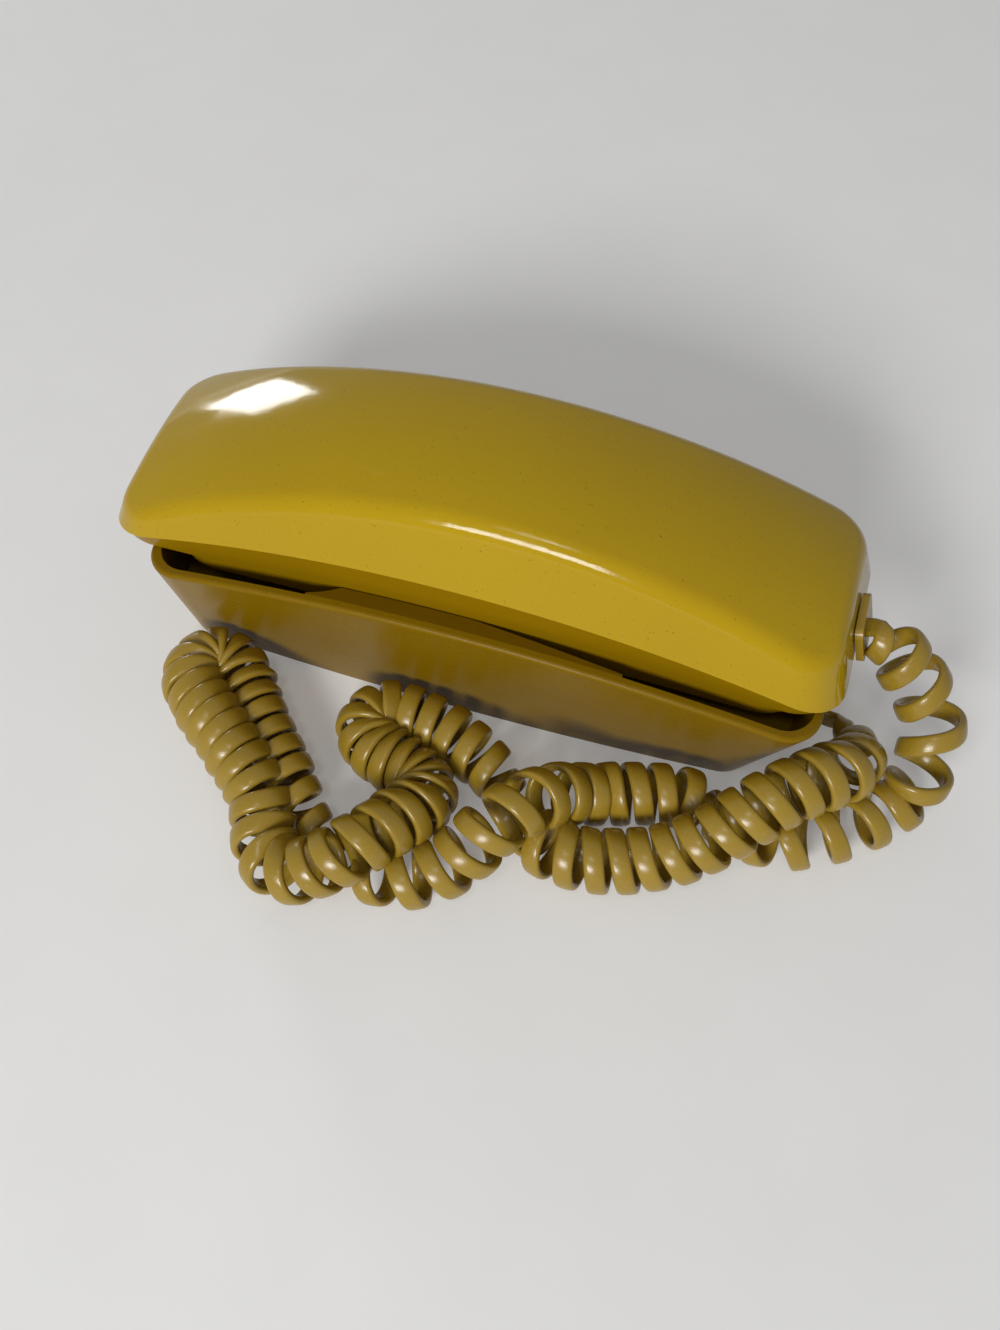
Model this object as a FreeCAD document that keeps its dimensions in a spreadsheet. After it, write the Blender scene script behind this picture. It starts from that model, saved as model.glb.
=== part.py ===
import FreeCAD, Part
import math
import os
import re
import Sketcher
from FreeCAD import Placement, Rotation, Vector

# Slimline wall telephone lying on its back plate, handset resting in the base.
# +X runs from the ear end to the mouth end, +Z up, -Y is the side seen first.
# The origin is the middle of the footprint on the surface it lies on. Millimetres.

doc = FreeCAD.newDocument("SlimlineWallPhone")
sheet = doc.addObject("Spreadsheet::Sheet", "Sizes")

# Driving sizes: name, value, what it is.
SIZES = [
    # Handset outline
    ("handset_half_length", 110, "half length along the parting line"),
    ("handset_half_width", 33, "half width at the parting line"),
    ("handset_wall", 2.2, "wall of both handset shells"),
    ("parting_end_height", 46, "height of the parting line at the two ends"),
    ("parting_rise", 17.2, "how far the parting line arches up in the middle"),
    ("parting_step", 0.5, "front shell set in from the back shell at the parting line"),
    ("crown_height", 88, "highest point of the handset"),
    ("crown_middle_x", 6.2, "where along the handset the top is highest"),
    ("end_wall_height", 8.95, "end wall at the ear end, from the parting line to the top"),
    ("crown_cross_radius", 96, "radius of the top across the handset"),
    ("back_side_slope", 0.327, "inward lean of the back shell sides, per unit of height"),
    ("front_side_slope", 0.08, "inward lean of the front shell sides, per unit of depth"),
    ("ear_end_lean", 20, "lean of the ear end wall in degrees"),
    ("mouth_end_lean", 15, "lean of the mouth end wall in degrees"),
    ("handset_corner", 15, "plan radius of the handset corners"),
    ("shoulder_radius", 7.5, "rounding between top and sides"),
    # Handset face
    ("deck_height", 41, "outer face of the keypad deck, facing down"),
    ("ear_cup_x", -67.5, "middle of the ear cup"),
    ("ear_cup_radius", 24, "ear cup radius where it leaves the deck"),
    ("ear_cup_depth", 17, "ear cup below the deck"),
    ("mouth_cup_x", 75, "middle of the mouth cup"),
    ("mouth_cup_radius", 22.5, "mouth cup radius where it leaves the deck"),
    ("mouth_cup_depth", 9, "mouth cup below the deck"),
    ("chin_gap", 1.4, "front shell above the end of the lip where it reaches over it"),
    ("ear_face_gap", 1.4, "front shell off the end wall of the ear well"),
    ("mouth_face_gap", 1.8, "front shell off the end wall of the mouth well"),
    ("face_lean", 0.25, "lean of those two faces, as a share of the end walls' lean"),
    ("cup_draft", 0.22, "taper of both cups, per unit of depth"),
    ("cup_edge_radius", 3, "rounding of the cup faces"),
    ("sound_hole_radius", 1.1, "sound holes over the receiver and transmitter"),
    ("ear_hole_circle", 8, "radius of the ring of sound holes at the ear"),
    ("mouth_hole_circle", 6, "radius of the ring of sound holes at the mouth"),
    # Receiver and transmitter
    ("receiver_radius", 17.5, "receiver unit"),
    ("receiver_depth", 13, "receiver unit"),
    ("transmitter_radius", 18, "transmitter unit"),
    ("transmitter_depth", 10, "transmitter unit"),
    ("clip_thickness", 1.2, "receiver spring clip"),
    ("contact_cup_depth", 4, "cup with the transmitter contacts"),
    # Keypad
    ("key_length", 10, "key cap along the handset"),
    ("key_width", 8.4, "key cap across the handset"),
    ("key_row_pitch", 13, "between rows, along the handset"),
    ("key_column_pitch", 14.5, "between columns, across the handset"),
    ("first_row_x", -27.5, "row nearest the ear"),
    ("key_proud", 2, "key cap standing out of the deck"),
    ("key_travel", 1.6, "stroke of a key"),
    ("key_clearance", 0.35, "gap between a key cap and its opening"),
    ("key_flange", 0.9, "flange that keeps a key behind the deck"),
    ("key_flange_thickness", 1.2, "key flange"),
    ("key_seat_gap", 0.2, "flange off the deck at rest"),
    ("stem_radius", 1.8, "stem behind each key"),
    ("stem_clearance", 0.3, "gap round a stem in the frame"),
    ("recall_length", 8, "recall button along the handset"),
    ("recall_width", 17, "recall button across the handset"),
    ("recall_x", 23.3, "middle of the recall button"),
    ("frame_start_x", -35.8, "keypad frame, end near the ear"),
    ("frame_end_x", 30.5, "keypad frame, end near the mouth"),
    ("frame_half_width", 25, "keypad frame"),
    ("frame_plate", 2.6, "plate of the keypad frame that guides the stems"),
    ("frame_rim", 2, "rim of the keypad frame"),
    ("board_thickness", 1.6, "all circuit boards"),
    ("keypad_board_half_width", 19.5, "keypad board"),
    ("post_radius", 2, "posts between the keypad frame and the handset board"),
    ("post_inset", 2.6, "posts in from the edge of the keypad frame"),
    ("stem_spare", 0.4, "flange off the frame and stem off the board when a key is pressed"),
    ("post_height", 4.8, "from the keypad frame to the handset board"),
    ("handset_board_half_length", 35.5, "handset board"),
    ("handset_board_half_width", 23, "handset board"),
    ("lamp_radius", 1.6, "keypad lamp"),
    ("lamp_clearance", 0.3, "gap round the lamp in its holes"),
    ("lamp_proud", 0.5, "lamp below the plate of the keypad frame"),
    ("lamp_flange", 0.8, "flange of the lamp behind the keypad board"),
    ("card_x", 40, "middle of the number card"),
    ("card_length", 9, "number card along the handset"),
    ("card_width", 34, "number card across the handset"),
    ("card_thickness", 0.3, "paper number card"),
    ("window_thickness", 0.8, "clear window over the number card"),
    ("window_clearance", 0.2, "gap round the window in its recess"),
    # Handset fasteners and cord grommet
    ("screw_radius", 1.5, "shank of all screws"),
    ("screw_head_radius", 2.8, "head of all screws"),
    ("screw_head_height", 1.6, "head of all screws"),
    ("screw_clearance", 0.2, "gap round shanks and heads"),
    ("handset_boss_radius", 3.5, "screw bosses of the handset"),
    ("handset_boss_height", 9, "from the deck to where the two bosses of a screw meet"),
    ("ear_screw_x", -39.7, "handset screw near the ear"),
    ("mouth_screw_x", 49.3, "handset screw near the mouth"),
    ("handset_screw_length", 15, "handset screws under the head"),
    ("grommet_height", 48.5, "middle of the handset cord grommet"),
    ("grommet_width", 16, "plate of the grommet across the handset"),
    ("grommet_tall", 14, "plate of the grommet along the end wall"),
    ("grommet_thickness", 2.2, "plate of the grommet"),
    ("grommet_neck_width", 7.4, "neck of the grommet through the wall"),
    ("grommet_neck_tall", 5.4, "neck of the grommet through the wall"),
    ("grommet_clearance", 0.3, "gap round the neck and under the plate"),
    ("grommet_flange", 1.6, "inner flange of the grommet"),
    ("grommet_flange_over", 2, "inner flange beyond the neck, at its sides and on top"),
    ("grommet_flange_lift", 0.2, "lower edge of the inner flange above the middle of the neck"),
    # Base housing
    ("base_wall", 3, "wall of the base housing"),
    ("foot_start_x", -94.4, "ear end of the footprint"),
    ("foot_end_x", 91, "mouth end of the footprint"),
    ("foot_half_width", 30.3, "half width of the footprint at its ends"),
    ("foot_bulge", 2.4, "how far the footprint bows out in the middle"),
    ("foot_corner", 10, "footprint corner radius"),
    ("lip_start_x", -95.6, "ear end of the lip"),
    ("lip_end_x", 105.8, "mouth end of the lip"),
    ("lip_half_width", 41, "half width of the lip"),
    ("lip_corner", 11, "lip corner radius"),
    ("lip_end_height", 44.5, "height of the lip at the two ends"),
    ("lip_rise", 8.4, "how far the lip arches up in the middle"),
    ("lip_round", 1.2, "rounding of the lip edge"),
    ("ledge_half_gap", 32, "half of the gap between the two ledges that hold the handset"),
    ("ledge_dip", 2.2, "inner edge of a ledge below the lip"),
    ("ledge_start_x", -43, "where the ledges start, at the ear well"),
    ("ledge_fade_x", 5, "where the ledges begin to narrow"),
    ("ledge_end_x", 50, "where the ledges end, at the mouth well"),
    ("ledge_end_half_gap", 37, "half of the gap there"),
    ("scoop_end_x", -30, "how far the rounded scoops at the ear end cut into the ledges"),
    ("scoop_radius", 18, "plan radius of those scoops"),
    ("floor_thickness", 2.5, "floors of the cradle and of both wells"),
    ("well_gap", 0.3, "cup faces off the floors of their wells"),
    ("cradle_gap", 5, "floor of the cradle off the deck of the handset"),
    # Wall plate and its screws
    ("plate_height", 8, "upper face of the wall plate"),
    ("plate_thickness", 1.6, "steel wall plate"),
    ("plate_half_length", 84, "wall plate"),
    ("plate_half_width", 26.5, "wall plate"),
    ("plate_middle_x", -2, "middle of the wall plate"),
    ("plate_corner", 6, "corner radius of the wall plate"),
    ("keyhole_pitch", 101.6, "between the two keyholes"),
    ("keyhole_radius", 5, "round end of a keyhole"),
    ("keyhole_slot", 5.5, "slot of a keyhole"),
    ("keyhole_reach", 11, "from the round end to the end of the slot"),
    ("base_post_radius", 3.5, "screw posts of the base"),
    ("ear_post_x", -80, "screw posts at the ear end"),
    ("mouth_post_x", 78, "screw posts at the mouth end"),
    ("base_post_y", 21.5, "screw posts off the middle line"),
    ("plate_screw_length", 10, "wall plate screws under the head"),
    ("plug_size", 12, "wall plug block"),
    ("plug_x", 0, "wall plug block"),
    ("plug_drop", 5.4, "wall plug below the wall plate"),
    # Hook switch
    ("plunger_x", 31.5, "hook plunger"),
    ("plunger_radius", 3.4, "hook plunger"),
    ("plunger_clearance", 0.3, "gap round the plunger in the cradle floor"),
    ("plunger_flange", 1.6, "flange that keeps the plunger below the floor"),
    ("plunger_flange_thickness", 1, "flange of the plunger"),
    ("plunger_drop", 8, "underside of the plunger below the cradle floor, at rest"),
    ("plunger_chamfer", 1, "chamfer round the tip of the plunger"),
    ("touch_gap", 0.3, "plunger off the handset, lever off the plunger"),
    ("lever_arm", 12, "from the hook pin to the plunger"),
    ("lever_width", 8, "hook lever"),
    ("lever_thickness", 1.4, "hook lever"),
    ("lever_tail", 6, "hook lever beyond the pin"),
    ("lever_weight_length", 4.5, "weight under the tail that balances the lever"),
    ("lever_weight_height", 7.5, "weight under the tail that balances the lever"),
    ("pin_radius", 1.2, "hook pin"),
    ("pin_clearance", 0.15, "gap round the hook pin in the lever"),
    ("bracket_length", 27, "hook bracket along the base"),
    ("bracket_thickness", 1.5, "hook bracket"),
    ("bracket_ear_length", 8, "ears that hold the hook pin"),
    ("bracket_ear_below", 3.5, "ears below the middle of the hook pin"),
    ("bracket_side_gap", 0.5, "between the lever and each ear of the bracket"),
    ("contact_block_length", 8, "block of the hook switch contacts"),
    ("contact_block_height", 6, "block of the hook switch contacts"),
    ("leaf_length", 8, "contact leaves"),
    ("leaf_thickness", 0.5, "contact leaves"),
    ("leaf_pitch", 2, "between contact leaves, and from the block to the first"),
    ("leaf_root", 1, "contact leaves held in the block"),
    # Network
    ("standoff_height", 4, "standoffs of the network board"),
    ("standoff_radius", 3, "standoffs of the network board"),
    ("standoff_inset", 4, "standoffs in from the edges of the network board"),
    ("network_x", -11.5, "middle of the network board"),
    ("network_length", 58, "network board"),
    ("network_width", 46, "network board"),
    ("coil_core_length", 20, "induction coil core"),
    ("coil_core_width", 17, "induction coil core"),
    ("coil_core_height", 13, "induction coil core"),
    ("coil_cheek", 2, "core left bare above and below its winding"),
    ("coil_bulge", 2.5, "winding wider than the core on each side"),
    ("capacitor_radius", 6, "capacitor can"),
    ("capacitor_length", 24, "capacitor can"),
    # Ringer
    ("ringer_frame_thickness", 1.5, "ringer frame"),
    ("ringer_frame_start_x", 19, "ringer frame"),
    ("ringer_frame_end_x", 74, "ringer frame"),
    ("ringer_frame_half_width", 20, "ringer frame"),
    ("gong_x", 65, "middle of the gong"),
    ("gong_radius", 19, "gong"),
    ("gong_height", 10, "gong"),
    ("gong_wall", 1.3, "gong"),
    ("gong_rim_height", 12.5, "rim of the gong above the surface"),
    ("gong_post_radius", 2.5, "post of the gong"),
    ("ringer_coil_x", 31, "middle of the ringer coil"),
    ("ringer_coil_radius", 6.8, "ringer coil"),
    ("ringer_coil_length", 17, "ringer coil"),
    ("ringer_flange", 1, "end flanges of the ringer coil, thick and proud of the winding"),
    ("ringer_upright_over", 2, "uprights above the middle of the ringer coil"),
    ("clapper_pivot_x", 26, "clapper pin"),
    ("clapper_pivot_y", -15.5, "clapper pin"),
    ("clapper_hub_radius", 2.6, "hub of the clapper"),
    ("clapper_hub_height", 5, "hub of the clapper"),
    ("clapper_rod", 1.6, "rod of the clapper"),
    ("clapper_ball_radius", 2.8, "ball of the clapper"),
    ("clapper_gap", 1.6, "ball off the gong at rest"),
    ("clapper_angle", 23, "degrees from the ear side of the gong round to the ball"),
    ("clapper_lift", 0.8, "hub of the clapper off the frame"),
    ("clapper_pin_radius", 1, "clapper pin"),
    # Volume wheel
    ("wheel_x", 28, "volume wheel"),
    ("wheel_radius", 11, "volume wheel"),
    ("wheel_thickness", 3.6, "volume wheel"),
    ("wheel_height", 14, "underside of the volume wheel"),
    ("wheel_proud", 1.6, "volume wheel standing out of the side wall"),
    ("wheel_clearance", 0.6, "gap round the wheel in its slot"),
    ("wheel_stud_radius", 2, "stud of the volume wheel"),
    ("wheel_notches", 18, "finger notches round the wheel"),
    ("wheel_notch_radius", 0.8, "finger notches round the wheel"),
    # Base cord grommet
    ("relief_y", -9, "base cord grommet off the middle line"),
    ("relief_height", 13, "middle of the base cord grommet"),
    ("relief_radius", 4.5, "base cord grommet"),
    ("relief_face_x", 98.5, "outer face of the base cord grommet"),
    ("relief_clearance", 0.2, "gap round the grommet in the wall"),
    ("relief_flange", 2, "inner flange of the grommet, beyond its radius"),
    ("relief_flange_thickness", 1.5, "inner flange of the grommet"),
    ("relief_flange_gap", 0.3, "inner flange off the leaning wall"),
    # Coiled cord
    ("cord_wire", 3.6, "thickness of the coiled cord's wire"),
    ("cord_coil_radius", 8.2, "radius of the curls, to the middle of the wire"),
    ("cord_pitch", 6.8, "from one curl to the next where the cord lies straight"),
    ("cord_riser_pitch", 15, "from one curl to the next where the cord hangs"),
    ("cord_riser_length", 46, "route length over which the cord hangs stretched"),
    ("cord_nest", 2.3, "how far curls slip in and out of each other inside a bend"),
    ("cord_drawn", 1.44, "growth of the pitch as the curls are drawn out to a straight wire"),
    ("cord_bend_spread", 15, "growth of the pitch per unit of bend beyond the gentle ones"),
]
for row, (alias, amount, note) in enumerate(SIZES, start=1):
    sheet.set("A%d" % row, alias)
    sheet.set("B%d" % row, "%g" % amount)
    sheet.set("C%d" % row, note)
    sheet.setAlias("B%d" % row, alias)
doc.recompute()
ALIASES = {alias for alias, amount, note in SIZES}

# Heights and places that follow from the sizes above, and may be used like them.
DERIVED = {
    "ear_cup_bottom": "(deck_height - ear_cup_depth)",
    "mouth_cup_bottom": "(deck_height - mouth_cup_depth)",
    "chin_height": "(lip_end_height + chin_gap)",
    "ear_face_x": "(lip_start_x + base_wall + ear_face_gap)",
    "mouth_face_x": "(lip_end_x - base_wall - mouth_face_gap)",
    "cradle_floor": "(deck_height - cradle_gap)",
    "plunger_foot": "(cradle_floor - plunger_drop)",
    "plunger_top": "(deck_height - touch_gap)",
    "handset_boss_top": "(deck_height + handset_boss_height)",
    "key_seat": "(deck_height + handset_wall + key_seat_gap)",
    "key_face": "(deck_height - key_proud)",
    "frame_under": "(key_seat + key_flange_thickness + key_travel + stem_spare)",
    "frame_top": "(frame_under + frame_plate)",
    "stem_top": "(frame_top - key_travel - stem_spare)",
    "frame_middle_x": "((frame_start_x + frame_end_x) / 2)",
    "frame_length": "(frame_end_x - frame_start_x)",
    "handset_board_height": "(frame_top + post_height)",
}
NAME = re.compile(r"[a-z][a-z_]+")


def bound(text):
    """An expression in plain size names, with each name made a cell of the sheet."""
    text = str(text)
    while any(name in DERIVED for name in NAME.findall(text)):
        text = NAME.sub(lambda m: DERIVED.get(m.group(), m.group()), text)
    return NAME.sub(lambda m: "Sizes." + m.group() if m.group() in ALIASES else m.group(), text)


def val(text):
    """What an expression in plain size names comes to, in millimetres."""
    return float(sheet.evalExpression(bound(text)))


NODES = []


def keep(obj, label):
    """Name a finished sub-part and put it on the list that is exported."""
    obj.Label = label
    NODES.append(obj)
    return obj


def place(obj, x="0", y="0", z="0"):
    """Bind a sub-part's position to the sheet."""
    for axis, text in zip("xyz", (x, y, z)):
        obj.setExpression("Placement.Base." + axis, bound(text))


def new_body(label):
    """An empty body under its final label."""
    return keep(doc.addObject("PartDesign::Body", label), label)


def sketch_on(body, role="XY_Plane", offset="0"):
    """A sketch on one of the body's own origin planes, lifted by offset."""
    sketch = body.newObject("Sketcher::SketchObject", "Sketch")
    support = [f for f in body.Origin.OriginFeatures if f.Role == role][0]
    sketch.AttachmentSupport = [(support, "")]
    sketch.MapMode = "FlatFace"
    sketch.setExpression("AttachmentOffset.Base.z", bound(offset))
    return sketch


def dimension(sketch, kind, places, text):
    """One driving dimension of a sketch, bound to the sheet."""
    index = sketch.addConstraint(Sketcher.Constraint(kind, *places, val(text)))
    sketch.setExpression("Constraints[%d]" % index, bound(text))


def polygon(sketch, corners):
    """A closed outline through corners given as pairs of expressions."""
    points = [Vector(val(x), val(y), 0) for x, y in corners]
    first = sketch.GeometryCount
    count = len(points)
    for i in range(count):
        sketch.addGeometry(Part.LineSegment(points[i], points[(i + 1) % count]), False)
    for i in range(count):
        sketch.addConstraint(Sketcher.Constraint(
            "Coincident", first + i, 2, first + (i + 1) % count, 1))
    for i, (x, y) in enumerate(corners):
        dimension(sketch, "DistanceX", (-1, 1, first + i, 1), x)
        dimension(sketch, "DistanceY", (-1, 1, first + i, 1), y)


def rectangle(sketch, x, y, length, width):
    """A rectangle about its middle."""
    left, right = "%s - (%s) / 2" % (x, length), "%s + (%s) / 2" % (x, length)
    low, high = "%s - (%s) / 2" % (y, width), "%s + (%s) / 2" % (y, width)
    polygon(sketch, [(left, low), (right, low), (right, high), (left, high)])


def circle(sketch, x, y, radius):
    """A circle with its middle and radius bound."""
    index = sketch.addGeometry(Part.Circle(
        Vector(val(x), val(y), 0), Vector(0, 0, 1), val(radius)), False)
    dimension(sketch, "DistanceX", (-1, 1, index, 3), x)
    dimension(sketch, "DistanceY", (-1, 1, index, 3), y)
    dimension(sketch, "Radius", (index,), radius)


def feature(body, kind, sketch, length=None, down=False, both=False, through=False):
    """A pad or pocket of a sketch, bound to the sheet."""
    made = body.newObject("PartDesign::" + kind, kind)
    made.Profile = sketch
    if through:
        made.Type = 1
    else:
        made.setExpression("Length", bound(length))
    made.Reversed = down
    if both:
        made.SideType = "Symmetric"
    doc.recompute()
    return made


def pad(body, sketch, length, down=False, both=False):
    """Add the outline, upwards unless down is set."""
    return feature(body, "Pad", sketch, length, down, both)


def pocket(body, sketch, length=None, up=False, through=False):
    """Take the outline away and make sure that something went."""
    before = body.Shape.Volume
    made = feature(body, "Pocket", sketch, length, up, through, through)
    if body.Shape.Volume > before - 1e-6:
        raise RuntimeError("pocket cuts nothing in " + body.Label)
    return made


def revolve(body, sketch):
    """Turn the outline once about the upright axis of the sketch."""
    made = body.newObject("PartDesign::Revolution", "Revolution")
    made.Profile = sketch
    made.ReferenceAxis = (sketch, ["V_Axis"])
    made.Angle = 360
    doc.recompute()
    return made


def fillet_edges(body, radius, wanted):
    """Round the edges of the tip for which wanted(edge) holds."""
    tip = body.Tip
    names = ["Edge%d" % (i + 1) for i, e in enumerate(tip.Shape.Edges) if wanted(e)]
    made = body.newObject("PartDesign::Fillet", "Fillet")
    made.Base = (tip, names)
    made.setExpression("Radius", bound(radius))
    doc.recompute()
    return made


def upright(edge):
    """Whether an edge is a straight line along Z."""
    span = edge.BoundBox
    return span.ZLength > 1e-6 and span.XLength + span.YLength < 1e-6


def at_height(height):
    """A test for edges that lie in one level plane."""
    def wanted(edge):
        span = edge.BoundBox
        return span.ZLength < 1e-6 and abs(span.ZMin - height) < 1e-6
    return wanted


def plate_body(label, x, y, z, length, width, thickness, corner=None):
    """A flat rectangular body with its middle at x, y and its underside at z."""
    body = new_body(label)
    flat = sketch_on(body)
    rectangle(flat, "0", "0", length, width)
    pad(body, flat, thickness)
    if corner:
        fillet_edges(body, corner, upright)
    place(body, x, y, z)
    return body


def turned_body(label, x, y, z, outline):
    """A round body turned from an outline of radius and height."""
    body = new_body(label)
    half = sketch_on(body, "XZ_Plane")
    polygon(half, outline)
    revolve(body, half)
    place(body, x, y, z)
    return body


def primitive(kind, name, **sizes):
    """A Part primitive with its sizes bound to the sheet."""
    made = doc.addObject("Part::" + kind, name)
    for key, text in sizes.items():
        made.setExpression(key, bound(text))
    return made


def joined(kind, name, first, second):
    """A Part boolean of two objects."""
    made = doc.addObject("Part::" + kind, name)
    made.Base = first
    made.Tool = second
    return made


def sculpted(label, shape):
    """A piece whose surfaces no sketch feature gives, worked out from the sheet."""
    made = doc.addObject("Part::Feature", label)
    made.Shape = shape
    return keep(made, label)


# Handset shells. Both are cut from three surfaces: sides that lean in and follow the
# arched parting line, a top that is arched along and across, and leaning end walls.

half_chord, arch_rise = val("handset_half_length"), val("parting_rise")
parting_radius = (half_chord ** 2 + arch_rise ** 2) / (2 * arch_rise)
parting_axis_z = val("parting_end_height") + arch_rise - parting_radius
# The top is an arc through its highest point and the top of the end wall at the ear end.
crown_chord = half_chord + val("crown_middle_x")
crown_drop = val("crown_height") - val("parting_end_height") - val("end_wall_height")
crown_radius = (crown_chord ** 2 + crown_drop ** 2) / (2 * crown_drop)
crown_axis_z = val("crown_height") - crown_radius
# The rounding of the shoulders is limited by the end wall.
shoulder = min(val("shoulder_radius"), 0.85 * val("end_wall_height"))
Y_AXIS = Vector(0, 1, 0)
WIDE = 2 * val("lip_half_width")


def swung(corners, axis_x, axis_z, half_angle):
    """Swing a flat outline of (across, out from the axis) about a level cross axis."""
    wire = Part.makePolygon([Vector(axis_x, y, axis_z + r) for y, r in corners + corners[:1]])
    face = Part.Face(wire)
    face.rotate(Vector(axis_x, 0, axis_z), Y_AXIS, -half_angle)
    return face.revolve(Vector(axis_x, 0, axis_z), Y_AXIS, 2 * half_angle)


def arch_block(radius, axis_x, axis_z):
    """Everything below an arch: a lying cylinder that is wider than the phone."""
    return Part.makeCylinder(radius, 2 * WIDE, Vector(axis_x, -WIDE, axis_z), Y_AXIS)


def crown_block(inset):
    """Everything under the crowned top, moved in by inset."""
    across = val("crown_cross_radius") - inset
    reach = crown_radius - inset
    axis_x = val("crown_middle_x")
    axis_z = crown_axis_z
    side = val("handset_half_width") + val("parting_step") + 4
    rim = reach - across + math.sqrt(across ** 2 - side ** 2)
    foot = 0.6 * reach
    corners = [(side, rim), (side, foot), (-side, foot), (-side, rim)]
    line = [Vector(axis_x, y, axis_z + r) for y, r in corners]
    top = Part.Arc(line[3], Vector(axis_x, 0, axis_z + reach), line[0]).toShape()
    edges = [top] + [Part.makeLine(line[i], line[i + 1]) for i in range(3)]
    face = Part.Face(Part.Wire(Part.__sortEdges__(edges)))
    face.rotate(Vector(axis_x, 0, axis_z), Y_AXIS, -40)
    return face.revolve(Vector(axis_x, 0, axis_z), Y_AXIS, 80)


def end_block(ear_x, mouth_x, lean):
    """Everything between two end walls, given where they are at the height of the parting line."""
    middle = val("parting_end_height")
    low, high = -val("handset_half_length") / 2, val("crown_height") + 10
    ear_lean = math.tan(math.radians(val("ear_end_lean"))) * lean
    mouth_lean = math.tan(math.radians(val("mouth_end_lean"))) * lean

    def ear(z):
        return ear_x + (z - middle) * ear_lean

    def mouth(z):
        return mouth_x - (z - middle) * mouth_lean

    corners = [(ear(low), low), (mouth(low), low), (mouth(high), high), (ear(high), high)]
    wire = Part.makePolygon([Vector(x, -WIDE, z) for x, z in corners + corners[:1]])
    return Part.Face(wire).extrude(Vector(0, 2 * WIDE, 0))


def long_edges(shape, wanted):
    """The edges of a shape for which wanted(edge) holds."""
    return [e for e in shape.Edges if wanted(e)]


def corner_edge(edge):
    """Whether an edge is one of the four that run up between a side and an end wall."""
    span = edge.BoundBox
    far = 0.7 * val("handset_half_length")
    return span.ZLength > 10 and span.XLength < far and min(abs(span.XMin), abs(span.XMax)) > far


def crown_edge(edge):
    """Whether an edge lies where the top meets the sides and end walls."""
    middle = edge.valueAt((edge.FirstParameter + edge.LastParameter) / 2)
    out = math.hypot(middle.x - val("crown_middle_x"), middle.z - crown_axis_z)
    above = math.hypot(middle.x, middle.z - parting_axis_z) - parting_radius
    return out > crown_radius - val("crown_height") / 7 and above > val("end_wall_height") / 3


def back_solid(inset):
    """The back of the handset as a solid, moved in by inset."""
    half = val("handset_half_width") - inset
    slope = val("back_side_slope")
    depth = val("crown_height")
    below = depth / 3
    low, high = parting_radius - below, parting_radius + depth / 2
    sides = swung([(-half - slope * below, low), (half + slope * below, low),
                   (half - slope * depth / 2, high), (-half + slope * depth / 2, high)],
                  0, parting_axis_z, 20)
    reach = val("handset_half_length") - inset
    block = sides.common(end_block(-reach, reach, 1)).Solids[0]
    block = block.makeFillet(val("handset_corner") - inset, long_edges(block, corner_edge))
    solid = block.common(crown_block(inset)).cut(arch_block(parting_radius, 0, parting_axis_z)).Solids[0]
    return solid.makeFillet(max(shoulder - 0.8 * inset, 0.8), long_edges(solid, crown_edge))


def cup(x, radius, bottom, top, inset):
    """A tapered round cup that hangs below the deck."""
    low = bottom + inset
    depth = val("deck_height") - low
    wide = radius - inset
    narrow = wide - val("cup_draft") * depth
    grown = wide + val("cup_draft") * (top - val("deck_height"))
    solid = Part.makeCone(narrow, grown, top - low, Vector(x, 0, low))
    rim = [e for e in solid.Edges if e.BoundBox.ZLength < 1e-6 and abs(e.BoundBox.ZMin - low) < 1e-6]
    return solid.makeFillet(max(val("cup_edge_radius") - 0.8 * inset, 0.8), rim)


def everything_above(height):
    """A block wider and longer than the phone, above a height."""
    return Part.makeBox(4 * WIDE, 2 * WIDE, WIDE, Vector(-2 * WIDE, -WIDE, height))


def front_solid(inset):
    """The front of the handset as a solid, moved in by inset."""
    half = val("handset_half_width") - val("parting_step") - inset
    slope = val("front_side_slope")
    depth = parting_radius - (val("ear_cup_bottom") - 20 - parting_axis_z)
    low, high = parting_radius - depth, parting_radius + 5
    sides = swung([(-half + slope * depth, low), (half - slope * depth, low),
                   (half + slope * 5, high), (-half - slope * 5, high)],
                  0, parting_axis_z, 20)
    reach = val("handset_half_length") - val("parting_step") - inset
    corner = val("handset_corner") - val("parting_step") - inset
    brow = sides.common(end_block(-reach, reach, -1)).Solids[0]
    brow = brow.makeFillet(corner, long_edges(brow, corner_edge))
    face = sides.common(end_block(val("ear_face_x") + inset, val("mouth_face_x") - inset, -val("face_lean")))
    face = face.Solids[0]
    face = face.makeFillet(corner, long_edges(face, corner_edge))
    deck = val("deck_height") + inset
    under_parting = arch_block(parting_radius, 0, parting_axis_z)
    brow = brow.common(everything_above(val("chin_height") + inset)).common(under_parting)
    upper = face.common(everything_above(deck)).common(under_parting)
    ear = cup(val("ear_cup_x"), val("ear_cup_radius"), val("ear_cup_bottom"), deck + 1, inset)
    mouth = cup(val("mouth_cup_x"), val("mouth_cup_radius"), val("mouth_cup_bottom"), deck + 1, inset)
    return upper.fuse([brow, ear.common(face), mouth.common(face)]).removeSplitter()


def post(x, y, low, high, radius):
    """A round upright post."""
    return Part.makeCylinder(radius, high - low, Vector(x, y, low))


def ring_of_holes(x, circle_radius, low, high):
    """One hole in the middle and eight round it."""
    radius = val("sound_hole_radius")
    holes = [post(x, 0, low, high, radius)]
    for i in range(8):
        angle = math.radians(45 * i)
        across, along = circle_radius * math.sin(angle), circle_radius * math.cos(angle)
        holes.append(post(x + along, across, low, high, radius))
    return holes


def slab(x, y, z, length, width, height):
    """A block about x, y with its underside at z."""
    return Part.makeBox(length, width, height, Vector(x - length / 2, y - width / 2, z))


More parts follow.
